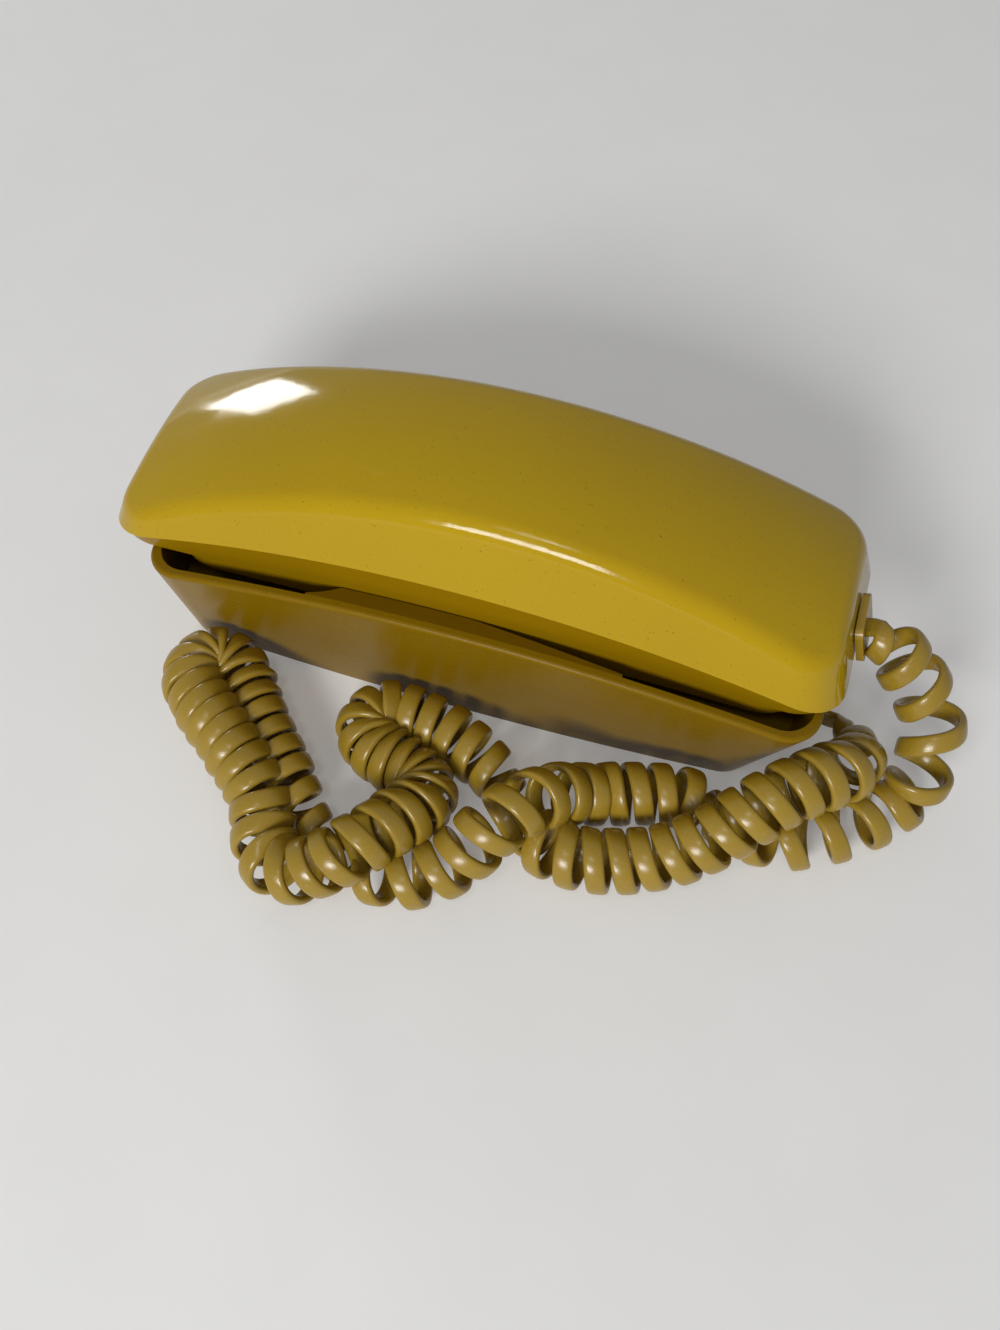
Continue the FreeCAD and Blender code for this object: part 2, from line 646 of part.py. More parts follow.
# The cord grommet sits in a window that is half in each shell, square to the end wall.
grommet_lean = val("mouth_end_lean")
grommet_x = val("handset_half_length") - (val("grommet_height") - val("parting_end_height")) \
    * math.tan(math.radians(grommet_lean))
GROMMET = Placement(Vector(grommet_x, 0, val("grommet_height")), Rotation(Y_AXIS, -grommet_lean))


def grommet_window():
    """The window for the neck of the handset grommet."""
    gap = val("grommet_clearance")
    wide = val("grommet_neck_width") + 2 * gap
    tall = val("grommet_neck_tall") + 2 * gap
    window = slab(0, 0, -tall / 2, 16, wide, tall)
    window.Placement = GROMMET.multiply(window.Placement)
    return window


keys_x = [val("first_row_x") + row * val("key_row_pitch") for row in range(4)]
keys_y = [(column - 1) * val("key_column_pitch") for column in range(3)]
screws_x = [val("ear_screw_x"), val("mouth_screw_x")]
boss_top = val("handset_boss_top")
deck_inside = val("deck_height") + val("handset_wall")

outer_back = back_solid(0)
back = outer_back.cut(back_solid(val("handset_wall")))
for screw_x in screws_x:
    boss = post(screw_x, 0, boss_top, val("crown_height"), val("handset_boss_radius"))
    short = post(screw_x, 0, boss_top, val("parting_end_height") + arch_rise, val("handset_boss_radius"))
    back = back.fuse([boss.common(outer_back), short])
    hole_top = val("deck_height") + val("screw_head_height") + val("handset_screw_length") + 1
    back = back.cut(post(screw_x, 0, boss_top, hole_top, val("screw_radius") + val("screw_clearance")))
back = back.cut(grommet_window()).removeSplitter()
sculpted("handset_back_shell", back)

front = front_solid(0).cut(front_solid(val("handset_wall")))
for screw_x in screws_x:
    boss = post(screw_x, 0, val("deck_height"), boss_top, val("handset_boss_radius"))
    front = front.fuse(boss)
    shank = val("screw_radius") + val("screw_clearance")
    front = front.cut(post(screw_x, 0, val("deck_height"), boss_top, shank))
    front = front.cut(post(screw_x, 0, val("deck_height"), val("deck_height") + val("screw_head_height"),
                           val("screw_head_radius") + val("screw_clearance")))
for key_x in keys_x:
    for key_y in keys_y:
        front = front.cut(slab(key_x, key_y, val("deck_height") - 1,
                               val("key_length") + 2 * val("key_clearance"),
                               val("key_width") + 2 * val("key_clearance"), val("handset_wall") + 2))
front = front.cut(slab(val("recall_x"), 0, val("deck_height") - 1,
                       val("recall_length") + 2 * val("key_clearance"),
                       val("recall_width") + 2 * val("key_clearance"), val("handset_wall") + 2))
front = front.cut(slab(val("card_x"), 0, val("deck_height") - 1,
                       val("card_length") + 2 * val("window_clearance"),
                       val("card_width") + 2 * val("window_clearance"),
                       1 + val("card_thickness") + val("window_thickness")))
front = front.cut(ring_of_holes(val("ear_cup_x"), val("ear_hole_circle"),
                                val("ear_cup_bottom") - 1, val("ear_cup_bottom") + val("handset_wall") + 1))
front = front.cut(ring_of_holes(val("mouth_cup_x"), val("mouth_hole_circle"),
                                val("mouth_cup_bottom") - 1,
                                val("mouth_cup_bottom") + val("handset_wall") + 1))
front = front.cut(grommet_window()).removeSplitter()
sculpted("handset_front_shell", front)

# Receiver and transmitter units stand on the inner faces of their cups.
turned_body("receiver_unit", "ear_cup_x", "0", "ear_cup_bottom + handset_wall",
            [("0", "0"), ("receiver_radius - 2", "0"), ("receiver_radius", "2"),
             ("receiver_radius", "receiver_depth - 4"), ("receiver_radius - 4", "receiver_depth"),
             ("0", "receiver_depth")])
turned_body("receiver_clip", "ear_cup_x", "0", "ear_cup_bottom + handset_wall + receiver_depth",
            [("receiver_radius - 12", "0"), ("receiver_radius - 4", "0"),
             ("receiver_radius - 4", "clip_thickness"), ("receiver_radius - 12", "clip_thickness")])
turned_body("transmitter_unit", "mouth_cup_x", "0", "mouth_cup_bottom + handset_wall",
            [("0", "0"), ("transmitter_radius - 2", "0"), ("transmitter_radius", "2"),
             ("transmitter_radius", "transmitter_depth"), ("0", "transmitter_depth")])
turned_body("transmitter_cup", "mouth_cup_x", "0", "mouth_cup_bottom + handset_wall + transmitter_depth",
            [("0", "0"), ("transmitter_radius", "0"), ("transmitter_radius", "contact_cup_depth"),
             ("transmitter_radius - 2", "contact_cup_depth"),
             ("transmitter_radius - 2", "contact_cup_depth - 1.5"),
             ("0", "contact_cup_depth - 1.5")])

# Keypad. Each key is a cap with a flange behind the deck and a stem in the frame.


def key(label, x, y, length, width):
    """One push button, cap downwards."""
    body = new_body(label)
    cap = sketch_on(body)
    rectangle(cap, "0", "0", length, width)
    pad(body, cap, "key_seat - key_face")
    fillet_edges(body, "1", at_height(0))
    flange = sketch_on(body, offset="key_seat - key_face")
    rectangle(flange, "0", "0", length + " + 2 * key_flange", width + " + 2 * key_flange")
    pad(body, flange, "key_flange_thickness")
    stem = sketch_on(body, offset="key_seat - key_face + key_flange_thickness")
    circle(stem, "0", "0", "stem_radius")
    pad(body, stem, "stem_top - key_seat - key_flange_thickness")
    place(body, x, y, "key_face")


KEY_NAMES = ["1", "2", "3", "4", "5", "6", "7", "8", "9", "star", "0", "pound"]
KEY_PLACES = [("first_row_x + %d * key_row_pitch" % (i // 3), "%d * key_column_pitch" % (i % 3 - 1))
              for i in range(12)]
for name, (x, y) in zip(KEY_NAMES, KEY_PLACES):
    key("key_" + name, x, y, "key_length", "key_width")
key("recall_button", "recall_x", "0", "recall_length", "recall_width")
STEMS = KEY_PLACES + [("recall_x", "0")]
LAMP = ("first_row_x + 1.5 * key_row_pitch", "0.5 * key_column_pitch")
POSTS = [("frame_start_x + post_inset", side + "(frame_half_width - post_inset)") for side in ("", "-")] + \
        [("frame_end_x - post_inset", side + "(frame_half_width - post_inset)") for side in ("", "-")]

frame = new_body("keypad_frame")
outline = sketch_on(frame)
rectangle(outline, "frame_middle_x", "0", "frame_length", "2 * frame_half_width")
pad(frame, outline, "frame_top - deck_height - handset_wall")
hollow = sketch_on(frame)
rectangle(hollow, "frame_middle_x", "0", "frame_length - 2 * frame_rim",
          "2 * frame_half_width - 2 * frame_rim")
pocket(frame, hollow, "frame_under - deck_height - handset_wall", up=True)
guides = sketch_on(frame)
for x, y in STEMS:
    circle(guides, x, y, "stem_radius + stem_clearance")
circle(guides, LAMP[0], LAMP[1], "lamp_radius + lamp_clearance")
pocket(frame, guides, through=True)
legs = sketch_on(frame, offset="frame_top - deck_height - handset_wall")
for x, y in POSTS:
    circle(legs, x, y, "post_radius")
pad(frame, legs, "post_height")
place(frame, "0", "0", "deck_height + handset_wall")

board = plate_body("keypad_board", "frame_middle_x", "0", "frame_top", "frame_length - frame_rim",
                   "2 * keypad_board_half_width", "board_thickness")
hole = sketch_on(board)
circle(hole, LAMP[0] + " - frame_middle_x", LAMP[1], "lamp_radius + lamp_clearance")
pocket(board, hole, through=True)

turned_body("keypad_lamp", LAMP[0], LAMP[1], "frame_under - lamp_proud",
            [("0", "0"), ("lamp_radius * 0.7", "0"), ("lamp_radius", "lamp_radius * 0.5"),
             ("lamp_radius", "lamp_proud + frame_plate + board_thickness"),
             ("lamp_radius + lamp_flange", "lamp_proud + frame_plate + board_thickness"),
             ("lamp_radius + lamp_flange", "lamp_proud + frame_plate + board_thickness + lamp_flange"),
             ("0", "lamp_proud + frame_plate + board_thickness + lamp_flange")])

plate_body("handset_circuit_board", "0", "0", "handset_board_height", "2 * handset_board_half_length",
           "2 * handset_board_half_width", "board_thickness")
plate_body("number_window", "card_x", "0", "deck_height", "card_length", "card_width", "window_thickness")
plate_body("number_card", "card_x", "0", "deck_height + window_thickness", "card_length", "card_width",
           "card_thickness")


def screw(name, x, y, z, length):
    """A screw with its head down: head and shank fused."""
    head = primitive("Cylinder", name + "_head", Radius="screw_head_radius", Height="screw_head_height")
    shank = primitive("Cylinder", name + "_shank", Radius="screw_radius",
                      Height=length + " + screw_head_height")
    for each in (head, shank):
        place(each, x, y, z)
    return joined("Fuse", name, head, shank)


def screw_group(label, places, z, length):
    """Identical screws as one group of separate solids."""
    group = doc.addObject("Part::Compound", label)
    group.Links = [screw("%s_%d" % (label, i), x, y, z, length) for i, (x, y) in enumerate(places, start=1)]
    keep(group, label)


screw_group("handset_screws", [("ear_screw_x", "0"), ("mouth_screw_x", "0")], "deck_height",
            "handset_screw_length")

grommet = new_body("handset_cord_grommet")
flat = sketch_on(grommet, "YZ_Plane", "grommet_clearance")
rectangle(flat, "0", "0", "grommet_width", "grommet_tall")
pad(grommet, flat, "grommet_thickness")
fillet_edges(grommet, "2.5", lambda e: e.BoundBox.XLength > 1e-6)
neck = sketch_on(grommet, "YZ_Plane", "grommet_clearance")
rectangle(neck, "0", "0", "grommet_neck_width", "grommet_neck_tall")
pad(grommet, neck, "2 * grommet_clearance + handset_wall", down=True)
inner = sketch_on(grommet, "YZ_Plane", "-(grommet_clearance + handset_wall)")
rectangle(inner, "0", "(grommet_neck_tall / 2 + grommet_flange_over + grommet_flange_lift) / 2",
          "grommet_neck_width + 2 * grommet_flange_over",
          "grommet_neck_tall / 2 + grommet_flange_over - grommet_flange_lift")
pad(grommet, inner, "grommet_flange", down=True)
grommet.Placement = GROMMET

# Base housing. The outside is ruled from the bowed footprint up to the lip; a long arch
# trims the top. A plan outline has straight ends, round corners and bowed sides.

lip_middle_x = (val("lip_start_x") + val("lip_end_x")) / 2
lip_half_length = (val("lip_end_x") - val("lip_start_x")) / 2
lip_radius = (lip_half_length ** 2 + val("lip_rise") ** 2) / (2 * val("lip_rise"))
lip_top = val("lip_end_height") + val("lip_rise")
lip_axis_z = lip_top - lip_radius


def plan_outline(start, end, half, bow, corner, z):
    """A closed plan outline: two straight ends, four round corners, two bowed sides."""
    diagonal = corner * math.sqrt(0.5)
    middle = (start + end) / 2
    edges = []
    for side in (-1, 1):
        a = Vector(start + corner, side * half, z)
        b = Vector(end - corner, side * half, z)
        edges.append(Part.Arc(a, Vector(middle, side * (half + bow), z), b).toShape())
        c = Vector(end, side * (half - corner), z)
        turn = Vector(end - corner + diagonal, side * (half - corner + diagonal), z)
        edges.append(Part.Arc(b, turn, c).toShape())
        d = Vector(start, side * (half - corner), z)
        turn = Vector(start + corner - diagonal, side * (half - corner + diagonal), z)
        edges.append(Part.Arc(d, turn, a).toShape())
    for x in (start, end):
        edges.append(Part.makeLine(Vector(x, half - corner, z), Vector(x, corner - half, z)))
    return Part.Wire(Part.__sortEdges__(edges))


def base_block(inset):
    """The flared block of the base, moved in by inset, up to the top of the arch."""
    grow = (lip_top - val("lip_end_height")) / val("lip_end_height")
    start = val("lip_start_x") + grow * (val("lip_start_x") - val("foot_start_x"))
    end = val("lip_end_x") + grow * (val("lip_end_x") - val("foot_end_x"))
    half = val("lip_half_width") + grow * (val("lip_half_width") - val("foot_half_width"))
    low = plan_outline(val("foot_start_x") + inset, val("foot_end_x") - inset,
                       val("foot_half_width") - inset, val("foot_bulge"), val("foot_corner") - inset / 2, 0)
    high = plan_outline(start + inset, end - inset, half - inset, val("lip_half_width") - half,
                        val("lip_corner") - inset / 2, lip_top)
    return Part.makeLoft([low, high], True, True)


def between(x_low, x_high, z_low, z_high, half=WIDE):
    """A block across the whole phone between two stations and two heights."""
    return Part.makeBox(x_high - x_low, 2 * half, z_high - z_low, Vector(x_low, -half, z_low))


wall = val("base_wall")
floor = val("floor_thickness")
ear_floor = val("ear_cup_bottom") - val("well_gap")
mouth_floor = val("mouth_cup_bottom") - val("well_gap")
cradle_floor = val("cradle_floor")
start_x, fade_x, end_x = val("ledge_start_x"), val("ledge_fade_x"), val("ledge_end_x")
half_gap, end_half_gap = val("ledge_half_gap"), val("ledge_end_half_gap")
inner_half = val("lip_half_width") - wall
FAR = 2 * lip_half_length

under_arch = arch_block(lip_radius, lip_middle_x, lip_axis_z)
outside = base_block(0).common(under_arch)
lip_edges = [e for e in outside.Edges if e.BoundBox.ZMin > 0.8 * val("lip_end_height")]
outside = outside.makeFillet(val("lip_round"), lip_edges)
inside = base_block(wall)

# The space above the floors: both wells, and the cradle channel between the two ledges.
plan = [(start_x, half_gap), (fade_x, half_gap), (end_x, end_half_gap),
        (end_x, -end_half_gap), (fade_x, -half_gap), (start_x, -half_gap)]
wire = Part.makePolygon([Vector(x, y, cradle_floor) for x, y in plan + plan[:1]])
channel = Part.Face(wire).extrude(Vector(0, 0, FAR))
scoop = between(val("ear_cup_x"), val("scoop_end_x"), cradle_floor, FAR, inner_half)
ends = [e for e in scoop.Edges if e.BoundBox.ZLength > wall and e.BoundBox.XMin > start_x]
scoop = scoop.makeFillet(val("scoop_radius"), ends)
space = inside.common(between(-FAR, start_x, ear_floor, FAR))
space = space.fuse([inside.common(channel), inside.common(scoop),
                    inside.common(between(end_x, FAR, mouth_floor, FAR))])
space = space.removeSplitter()
# The ledges dip from the lip towards the handset.
depth = val("ledge_dip") * inner_half / (inner_half - half_gap)
dips = []
for side in (-1, 1):
    wedge = [(side * inner_half, lip_radius), (0, lip_radius - depth), (0, lip_radius + wall),
             (side * inner_half, lip_radius + wall)]
    wedge = swung(wedge, lip_middle_x, lip_axis_z, 12)
    dips.append(wedge.common(between(val("ear_cup_x"), end_x, cradle_floor, FAR)))
# The space under the floors, open at the back.
hollow = inside.common(between(-FAR, start_x + floor, -1, ear_floor - floor))
hollow = hollow.fuse([inside.common(between(start_x + floor, end_x - floor, -1, cradle_floor - floor)),
                      inside.common(between(end_x - floor, FAR, -1, mouth_floor - floor))])
hollow = hollow.removeSplitter()
housing = outside.cut(space).cut(hollow).cut(dips)

base_posts = [(x, side * val("base_post_y")) for x in (val("ear_post_x"), val("mouth_post_x"))
              for side in (-1, 1)]
for x, y in base_posts:
    top = (ear_floor if x < 0 else mouth_floor) - floor / 2
    housing = housing.fuse(post(x, y, val("plate_height"), top, val("base_post_radius")))
    bore_top = val("plate_height") + val("plate_screw_length")
    bore_radius = val("screw_radius") + val("screw_clearance")
    housing = housing.cut(post(x, y, val("plate_height"), bore_top, bore_radius))
housing = housing.cut(post(val("plunger_x"), 0, cradle_floor - floor - 1, cradle_floor + 1,
                           val("plunger_radius") + val("plunger_clearance")))
SIDE_FOOT = "(foot_half_width + foot_bulge)"
WHEEL_Y = SIDE_FOOT + " + (wheel_height + wheel_thickness / 2) * (lip_half_width - " + SIDE_FOOT \
    + ") / (lip_end_height + lip_rise) + wheel_proud - wheel_radius"
wheel_slot = val("wheel_radius") + val("wheel_clearance")
housing = housing.cut(post(val("wheel_x"), val(WHEEL_Y), val("wheel_height") - val("wheel_clearance"),
                           val("wheel_height") + val("wheel_thickness") + val("wheel_clearance"),
                           wheel_slot))
relief_bore = 5 * val("base_wall")
relief = Part.makeCylinder(val("relief_radius") + val("relief_clearance"), relief_bore,
                           Vector(val("relief_face_x") - relief_bore, val("relief_y"), val("relief_height")),
                           Vector(1, 0, 0))
housing = housing.cut(relief).removeSplitter()
sculpted("base_housing", housing)

# Wall plate with two keyholes and the standoffs of the network board.
plate = plate_body("wall_plate", "plate_middle_x", "0", "plate_height - plate_thickness",
                   "2 * plate_half_length", "2 * plate_half_width", "plate_thickness", "plate_corner")
holes = sketch_on(plate)
for side in ("-", ""):
    circle(holes, side + "keyhole_pitch / 2 - plate_middle_x", "0", "keyhole_radius")
for x in ("ear_post_x", "mouth_post_x"):
    for side in ("-", ""):
        circle(holes, x + " - plate_middle_x", side + "base_post_y", "screw_radius + screw_clearance")
pocket(plate, holes, through=True)
slots = sketch_on(plate)
for side in ("-", ""):
    rectangle(slots, side + "keyhole_pitch / 2 - plate_middle_x - keyhole_reach / 2", "0", "keyhole_reach",
              "keyhole_slot")
pocket(plate, slots, through=True)
STANDOFFS = [("network_x + %s(network_length / 2 - standoff_inset)" % a,
              "%s(network_width / 2 - standoff_inset)" % b) for a in ("", "-") for b in ("", "-")]
stands = sketch_on(plate, offset="plate_thickness")
for x, y in STANDOFFS:
    circle(stands, x + " - plate_middle_x", y, "standoff_radius")
pad(plate, stands, "standoff_height")

screw_group("wall_plate_screws", [(x, side + "base_post_y") for x in ("ear_post_x", "mouth_post_x")
                                  for side in ("-", "")],
            "plate_height - plate_thickness - screw_head_height", "plate_screw_length")
plate_body("wall_plug", "plug_x", "0", "plate_height - plate_thickness - plug_drop", "plug_size",
           "plug_size - 2", "plug_drop", "1")

# Hook switch: plunger, lever on a pin, bracket under the cradle floor, contacts.
turned_body("hook_plunger", "plunger_x", "0", "plunger_foot",
            [("0", "0"), ("plunger_radius + plunger_flange", "0"),
             ("plunger_radius + plunger_flange", "plunger_flange_thickness"),
             ("plunger_radius", "plunger_flange_thickness"),
             ("plunger_radius", "plunger_top - plunger_foot - plunger_chamfer"),
             ("plunger_radius - plunger_chamfer", "plunger_top - plunger_foot"),
             ("0", "plunger_top - plunger_foot")])

PIN_X = "plunger_x - lever_arm"
LEVER_TOP = "plunger_foot - touch_gap"
PIN_Z = LEVER_TOP + " - lever_thickness / 2"
lever = new_body("hook_lever")
side_view = sketch_on(lever, "XZ_Plane")
HUB = "(pin_radius + pin_clearance + 1)"
polygon(side_view, [("lever_arm + 2", "-lever_thickness / 2"), ("lever_arm + 2", "lever_thickness / 2"),
                    ("-lever_tail", "lever_thickness / 2"), ("-lever_tail", "-lever_thickness / 2")])
pad(lever, side_view, "lever_width", both=True)
weight = sketch_on(lever, "XZ_Plane")
rectangle(weight, "lever_weight_length / 2 - lever_tail",
          "-(lever_thickness + lever_weight_height) / 2", "lever_weight_length",
          "lever_weight_height")
pad(lever, weight, "lever_width", both=True)
hub = sketch_on(lever, "XZ_Plane")
circle(hub, "0", "0", HUB)
pad(lever, hub, "lever_width", both=True)
bore = sketch_on(lever, "XZ_Plane")
circle(bore, "0", "0", "pin_radius + pin_clearance")
pocket(lever, bore, through=True)
place(lever, PIN_X, "0", PIN_Z)

EAR = "lever_width / 2 + bracket_side_gap"
pin = primitive("Cylinder", "hook_pin", Radius="pin_radius", Height="2 * (" + EAR + " + bracket_thickness)")
pin.Placement = Placement(Vector(0, 0, 0), Rotation(Vector(1, 0, 0), 90))
place(pin, PIN_X, EAR + " + bracket_thickness", PIN_Z)
keep(pin, "hook_pin")

BRACKET_X = "(plunger_x - plunger_radius - 2 * plunger_flange - bracket_length / 2 - 1)"
ROOF_Z = "(cradle_floor - floor_thickness)"
bracket = new_body("hook_bracket")
roof = sketch_on(bracket)
rectangle(roof, "0", "0", "bracket_length", "2 * (" + EAR + " + bracket_thickness)")
pad(bracket, roof, "bracket_thickness", down=True)
for side in ("", "-"):
    ear = sketch_on(bracket, offset="-bracket_thickness")
    rectangle(ear, PIN_X + " - " + BRACKET_X, "%s(%s + bracket_thickness / 2)" % (side, EAR),
              "bracket_ear_length", "bracket_thickness")
    pad(bracket, ear, ROOF_Z + " - bracket_thickness - (" + PIN_Z + ") + bracket_ear_below", down=True)
pin_hole = sketch_on(bracket, "XZ_Plane")
circle(pin_hole, PIN_X + " - " + BRACKET_X, PIN_Z + " - " + ROOF_Z, "pin_radius")
pocket(bracket, pin_hole, through=True)
place(bracket, BRACKET_X, "0", ROOF_Z)

contacts = new_body("hook_contacts")
block = sketch_on(contacts)
rectangle(block, "0", "0", "contact_block_length", "lever_width")
pad(contacts, block, "contact_block_height", down=True)
for level in (1, 2):
    leaf = sketch_on(contacts, offset="-%d * leaf_pitch" % level)
    rectangle(leaf, "(contact_block_length + leaf_length - leaf_root) / 2", "0", "leaf_length + leaf_root",
              "lever_width / 2 + leaf_root")
    pad(contacts, leaf, "leaf_thickness", down=True)
place(contacts, BRACKET_X + " - bracket_length / 2 + contact_block_length / 2", "0",
      ROOF_Z + " - bracket_thickness")

# Network board on its standoffs, with the induction coil and a capacitor.
BOARD_TOP = "plate_height + standoff_height + board_thickness"
plate_body("network_board", "network_x", "0", "plate_height + standoff_height", "network_length",
           "network_width", "board_thickness")
coil = plate_body("induction_coil", "network_x - network_length / 4", "network_width / 5", BOARD_TOP,
                  "coil_core_length", "coil_core_width", "coil_core_height")
winding = sketch_on(coil, offset="coil_cheek")
rectangle(winding, "0", "0", "coil_core_length - 3 * coil_cheek", "coil_core_width + 2 * coil_bulge")
pad(coil, winding, "coil_core_height - 2 * coil_cheek")

can = primitive("Cylinder", "capacitor", Radius="capacitor_radius", Height="capacitor_length")
can.Placement = Placement(Vector(0, 0, 0), Rotation(Vector(0, 1, 0), 90))
place(can, "network_x - network_length / 2 + standoff_inset", "-network_width / 4 - coil_cheek",
      BOARD_TOP + " + capacitor_radius + touch_gap")
keep(can, "capacitor")

# Ringer: frame on the wall plate, coil between two uprights, gong on its post, clapper on a pin.
FRAME_Z = "plate_height + ringer_frame_thickness"
CORE_Z = "(ringer_coil_radius + touch_gap)"
ringer = new_body("ringer_frame")
base_plate = sketch_on(ringer)
rectangle(base_plate, "(ringer_frame_start_x + ringer_frame_end_x) / 2", "0",
          "ringer_frame_end_x - ringer_frame_start_x", "2 * ringer_frame_half_width")
pad(ringer, base_plate, "ringer_frame_thickness")
for x in ("ringer_coil_x - ringer_coil_length / 2 - ringer_frame_thickness / 2",
          "ringer_coil_x + ringer_coil_length / 2 + ringer_frame_thickness / 2"):
    upright_plate = sketch_on(ringer, offset="ringer_frame_thickness")
    rectangle(upright_plate, x, "0", "ringer_frame_thickness", "2 * ringer_coil_radius - 2 * ringer_flange")
    pad(ringer, upright_plate, CORE_Z + " + ringer_upright_over")
gong_post = sketch_on(ringer, offset="ringer_frame_thickness")
circle(gong_post, "gong_x", "0", "gong_post_radius")
pad(ringer, gong_post, "gong_rim_height + gong_height - gong_wall - (" + FRAME_Z + ")")
place(ringer, "0", "0", "plate_height")

WINDING = "ringer_coil_radius - ringer_flange"
bobbin = turned_body("ringer_coil", "0", "0", "0",
                     [("0", "0"), ("ringer_coil_radius", "0"), ("ringer_coil_radius", "ringer_flange"),
                      (WINDING, "ringer_flange"), (WINDING, "ringer_coil_length - ringer_flange"),
                      ("ringer_coil_radius", "ringer_coil_length - ringer_flange"),
                      ("ringer_coil_radius", "ringer_coil_length"), ("0", "ringer_coil_length")])
bobbin.Placement = Placement(Vector(0, 0, 0), Rotation(Y_AXIS, 90))
place(bobbin, "ringer_coil_x - ringer_coil_length / 2", "0", FRAME_Z + " + " + CORE_Z)

turned_body("ringer_gong", "gong_x", "0", "gong_rim_height",
            [("gong_radius - gong_wall", "0"), ("gong_radius", "0"), ("gong_radius", "gong_height - 4"),
             ("gong_radius - 4", "gong_height"), ("0", "gong_height"), ("0", "gong_height - gong_wall"),
             ("gong_radius - 4 - gong_wall / 2", "gong_height - gong_wall"),
             ("gong_radius - gong_wall", "gong_height - 4 - gong_wall / 2")])

BALL_OUT = "(gong_radius + clapper_gap + clapper_ball_radius)"
BALL_X = "(gong_x - " + BALL_OUT + " * cos(clapper_angle))"
BALL_Y = "(-" + BALL_OUT + " * sin(clapper_angle))"
clapper_pin = primitive("Cylinder", "clapper_pin", Radius="clapper_pin_radius",
                        Height="clapper_hub_height + 2 * clapper_lift")
place(clapper_pin, "clapper_pivot_x", "clapper_pivot_y", FRAME_Z)
keep(clapper_pin, "clapper_pin")

clapper = new_body("ringer_clapper")
hub = sketch_on(clapper)
circle(hub, "0", "0", "clapper_hub_radius")
pad(clapper, hub, "clapper_hub_height")
rod = sketch_on(clapper, offset="clapper_hub_height / 2 - clapper_rod / 2")
ROD_X, ROD_Y = BALL_X + " - clapper_pivot_x", BALL_Y + " - clapper_pivot_y"
half_rod = "clapper_rod / 2"
polygon(rod, [("0", "-" + half_rod), (ROD_X, ROD_Y + " - " + half_rod), (ROD_X, ROD_Y + " + " + half_rod),
              ("0", half_rod)])
pad(clapper, rod, "clapper_rod")
ball = sketch_on(clapper, offset="clapper_hub_height / 2 - clapper_ball_radius")
circle(ball, ROD_X, ROD_Y, "clapper_ball_radius")
pad(clapper, ball, "2 * clapper_ball_radius")
fillet_edges(clapper, "clapper_ball_radius * 0.6",
             lambda e: abs(e.BoundBox.XMax - (val(ROD_X) + val("clapper_ball_radius"))) < 1e-4
             and e.BoundBox.ZLength < 1e-6)
bore = sketch_on(clapper)
circle(bore, "0", "0", "clapper_pin_radius + pin_clearance")
pocket(clapper, bore, through=True)
place(clapper, "clapper_pivot_x", "clapper_pivot_y", FRAME_Z + " + clapper_lift")

# Volume wheel on its stud, standing a little out of the far side wall.
stud = primitive("Cylinder", "volume_wheel_stud", Radius="wheel_stud_radius",
                 Height="wheel_height + wheel_thickness - plate_height")
place(stud, "wheel_x", WHEEL_Y, "plate_height")
keep(stud, "volume_wheel_stud")
wheel = new_body("volume_wheel")
disc = sketch_on(wheel)
circle(disc, "0", "0", "wheel_radius")
circle(disc, "0", "0", "wheel_stud_radius + pin_clearance")
pad(wheel, disc, "wheel_thickness")
notch = sketch_on(wheel)
circle(notch, "wheel_radius", "0", "wheel_notch_radius")
notch_cut = pocket(wheel, notch, through=True)
round_rim = wheel.newObject("PartDesign::PolarPattern", "PolarPattern")
round_rim.Originals = [notch_cut]
round_rim.Axis = (notch, ["N_Axis"])
round_rim.Angle = 360
round_rim.setExpression("Occurrences", bound("wheel_notches"))
wheel.Tip = round_rim
doc.recompute()
place(wheel, "wheel_x", WHEEL_Y, "wheel_height")

# Base cord grommet in the mouth end wall, its face square to the cord.
WALL_LEAN = "(lip_end_x - foot_end_x) / lip_end_height"
RELIEF_DEPTH = "relief_face_x - foot_end_x - " + WALL_LEAN \
    + " * (relief_height - relief_radius - relief_flange) + base_wall + relief_flange_gap"
relief_body = new_body("base_cord_grommet")
stem = sketch_on(relief_body, "YZ_Plane")
circle(stem, "0", "0", "relief_radius")
pad(relief_body, stem, RELIEF_DEPTH + " + relief_flange_thickness", down=True)
collar = sketch_on(relief_body, "YZ_Plane", "-(" + RELIEF_DEPTH + ")")
circle(collar, "0", "0", "relief_radius + relief_flange")
pad(relief_body, collar, "relief_flange_thickness", down=True)
place(relief_body, "relief_face_x", "relief_y", "relief_height")

